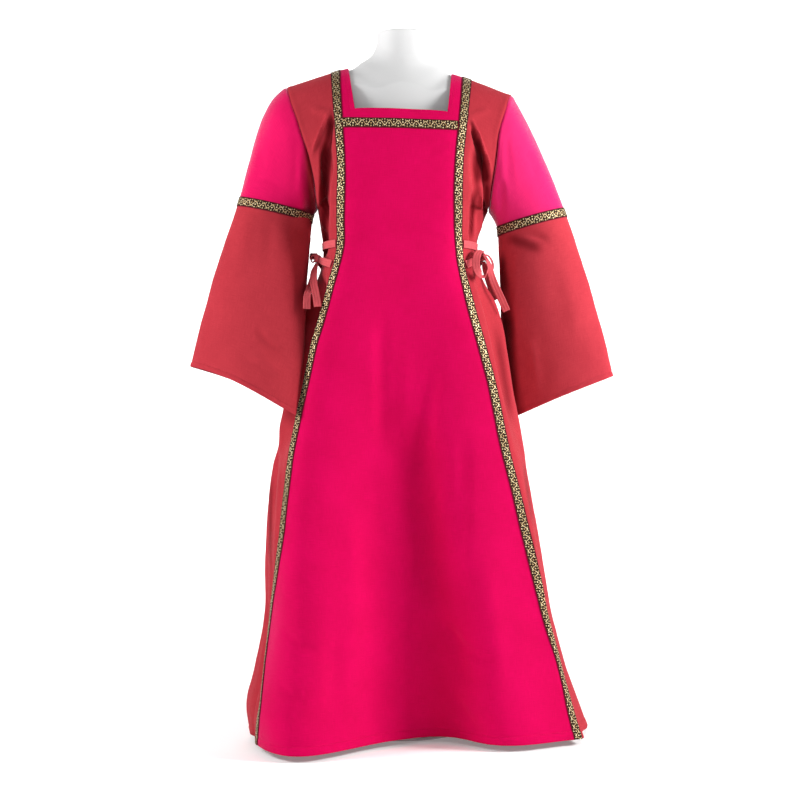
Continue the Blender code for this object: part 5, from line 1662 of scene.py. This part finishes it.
POLE_RADIUS = 0.0125
BASE_RADIUS = 0.100
BASE_THICK = 0.006
FORM_BOTTOM = 0.602
STAND_PROFILES = {
    "stand_base": [(0, BASE_THICK), (BASE_RADIUS - 0.0030, BASE_THICK),
                   (BASE_RADIUS - 0.0009, BASE_THICK - 0.0009), (BASE_RADIUS, BASE_THICK - 0.0030),
                   (BASE_RADIUS, 0.0006), (BASE_RADIUS - 0.0006, 0), (0, 0)],
    "stand_pole": [(0, FORM_BOTTOM - GAP), (0.0165, FORM_BOTTOM - GAP), (0.0172, FORM_BOTTOM - 0.0012),
                   (0.0172, FORM_BOTTOM - 0.0150), (0.0160, FORM_BOTTOM - 0.0165),
                   (POLE_RADIUS, FORM_BOTTOM - 0.0170),
                   (POLE_RADIUS, 0.0345), (0.0175, 0.0330), (0.0190, 0.0310), (0.0195, 0.0120),
                   (0.0260, 0.0090), (0.0280, 0.0078), (0.0280, BASE_THICK + GAP), (0, BASE_THICK + GAP)],
}


def coat_material():
    """Powder coat on steel: light grey, satin, with the fine orange peel of baked powder."""
    made, tree = empty_material("light_grey_powder_coat")
    place = add_node(tree, "TexCoord").node.outputs["Object"]
    cloudy = add_node(tree, "TexNoise", named={"Vector": place, "Scale": 9, "Detail": 2})
    paint = add_node(tree, "Mix", cloudy, data_type="RGBA", named={6: colour("#D2D2D3"), 7: colour("#DBDBDB")})
    peel = add_node(tree, "TexNoise", named={"Vector": place, "Scale": 650, "Detail": 1})
    rough = add_node(tree, "MapRange", peel, 0.3, 0.7, 0.34, 0.46)
    bump = add_node(tree, "Bump", named={"Strength": 0.15, "Distance": 0.0003, "Height": peel})
    shader = add_node(tree, "BsdfPrincipled", named={
        "Base Color": paint, "Normal": bump, "Roughness": rough, "Specular IOR Level": 0.5})
    add_node_output(tree, shader)
    return made


powder_coat = coat_material()
for name, profile in STAND_PROFILES.items():
    bm = bmesh.new()
    verts = [bm.verts.new((x, 0, z)) for x, z in profile]
    lines = [bm.edges.new(pair) for pair in zip(verts, verts[1:])]
    bmesh.ops.spin(bm, geom=verts + lines, cent=(0, 0, 0), axis=(0, 0, 1), angle=math.tau, steps=FORM_SIDES,
                   use_merge=True)
    bmesh.ops.remove_doubles(bm, verts=bm.verts, dist=0.00001)
    bmesh.ops.recalc_face_normals(bm, faces=bm.faces)
    piece = finish_piece(name, bm, powder_coat, sharp=35)
    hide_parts(name.replace("stand", "form"))


# The studio: a wide white floor that sweeps up into a wall behind the gown, soft square lights at both sides, in
# front and behind, and one that lights the wall. A light's row has its place, size, power and target.

SWEEP = [(-3.4, 0), (3.8, 0), (4.5, 0.1), (5.0, 0.4), (5.3, 0.9), (5.4, 1.6), (5.45, 4.5)]
SWEEP_WIDTH = 14.0
LIGHTS = {
    "light_right": ((1.70, -0.45, 1.20), 0.6, 45, (0.2, 0, 0.95)),
    "light_left": ((-1.60, -0.60, 1.25), 0.6, 27, (-0.2, 0, 0.95)),
    "light_front": ((-0.20, -2.90, 2.00), 1.0, 19.5, (0, 0, 0.75)),
    "light_back": ((0.00, 1.90, 2.90), 1.6, 22, (0, 0, 0.70)),
    "light_paper": ((0.00, 2.40, 3.00), 2.0, 160, (0, 5.0, 0.90)),
}


def backdrop_material():
    """Seamless white acrylic of a light table: matt, and lit a little from behind."""
    made, tree = empty_material("white_lit_acrylic")
    place = add_node(tree, "TexCoord").node.outputs["Object"]
    grain = add_node(tree, "TexNoise", named={"Vector": place, "Scale": 3, "Detail": 2})
    paint = add_node(tree, "Mix", grain, data_type="RGBA", named={6: colour("#F7F7F7"), 7: colour("#FCFCFC")})
    shader = add_node(tree, "BsdfPrincipled", named={
        "Base Color": paint, "Roughness": 0.9, "Emission Color": paint, "Emission Strength": 0.22})
    add_node_output(tree, shader)
    return made


bm = bmesh.new()
verts = [bm.verts.new((-SWEEP_WIDTH / 2, y, z)) for y, z in SWEEP]
lines = [bm.edges.new(pair) for pair in zip(verts, verts[1:])]
made = bmesh.ops.extrude_edge_only(bm, edges=lines)
far = [v for v in made["geom"] if isinstance(v, bmesh.types.BMVert)]
bmesh.ops.translate(bm, vec=(SWEEP_WIDTH, 0, 0), verts=far)
bmesh.ops.recalc_face_normals(bm, faces=bm.faces)
mesh = bpy.data.meshes.new("studio_floor")
bm.to_mesh(mesh)
bm.free()
mesh.materials.append(backdrop_material())
mesh.shade_smooth()
floor = bpy.data.objects.new("studio_floor", mesh)
bpy.context.scene.collection.objects.link(floor)

for name, (place, size, power, target) in LIGHTS.items():
    lamp = bpy.data.lights.new(name, "AREA")
    lamp.shape = "SQUARE"
    lamp.size = size
    lamp.energy = power
    light = bpy.data.objects.new(name, lamp)
    light.location = place
    aim = Vector(target) - light.location
    light.rotation_euler = aim.to_track_quat("-Z", "Y").to_euler()
    bpy.context.scene.collection.objects.link(light)

world = bpy.data.worlds.new("studio_air")
world.use_nodes = True
sky = world.node_tree.nodes["Background"]
sky.inputs["Color"].default_value = (1, 1, 1, 1)
sky.inputs["Strength"].default_value = 0.10
bpy.context.scene.world = world
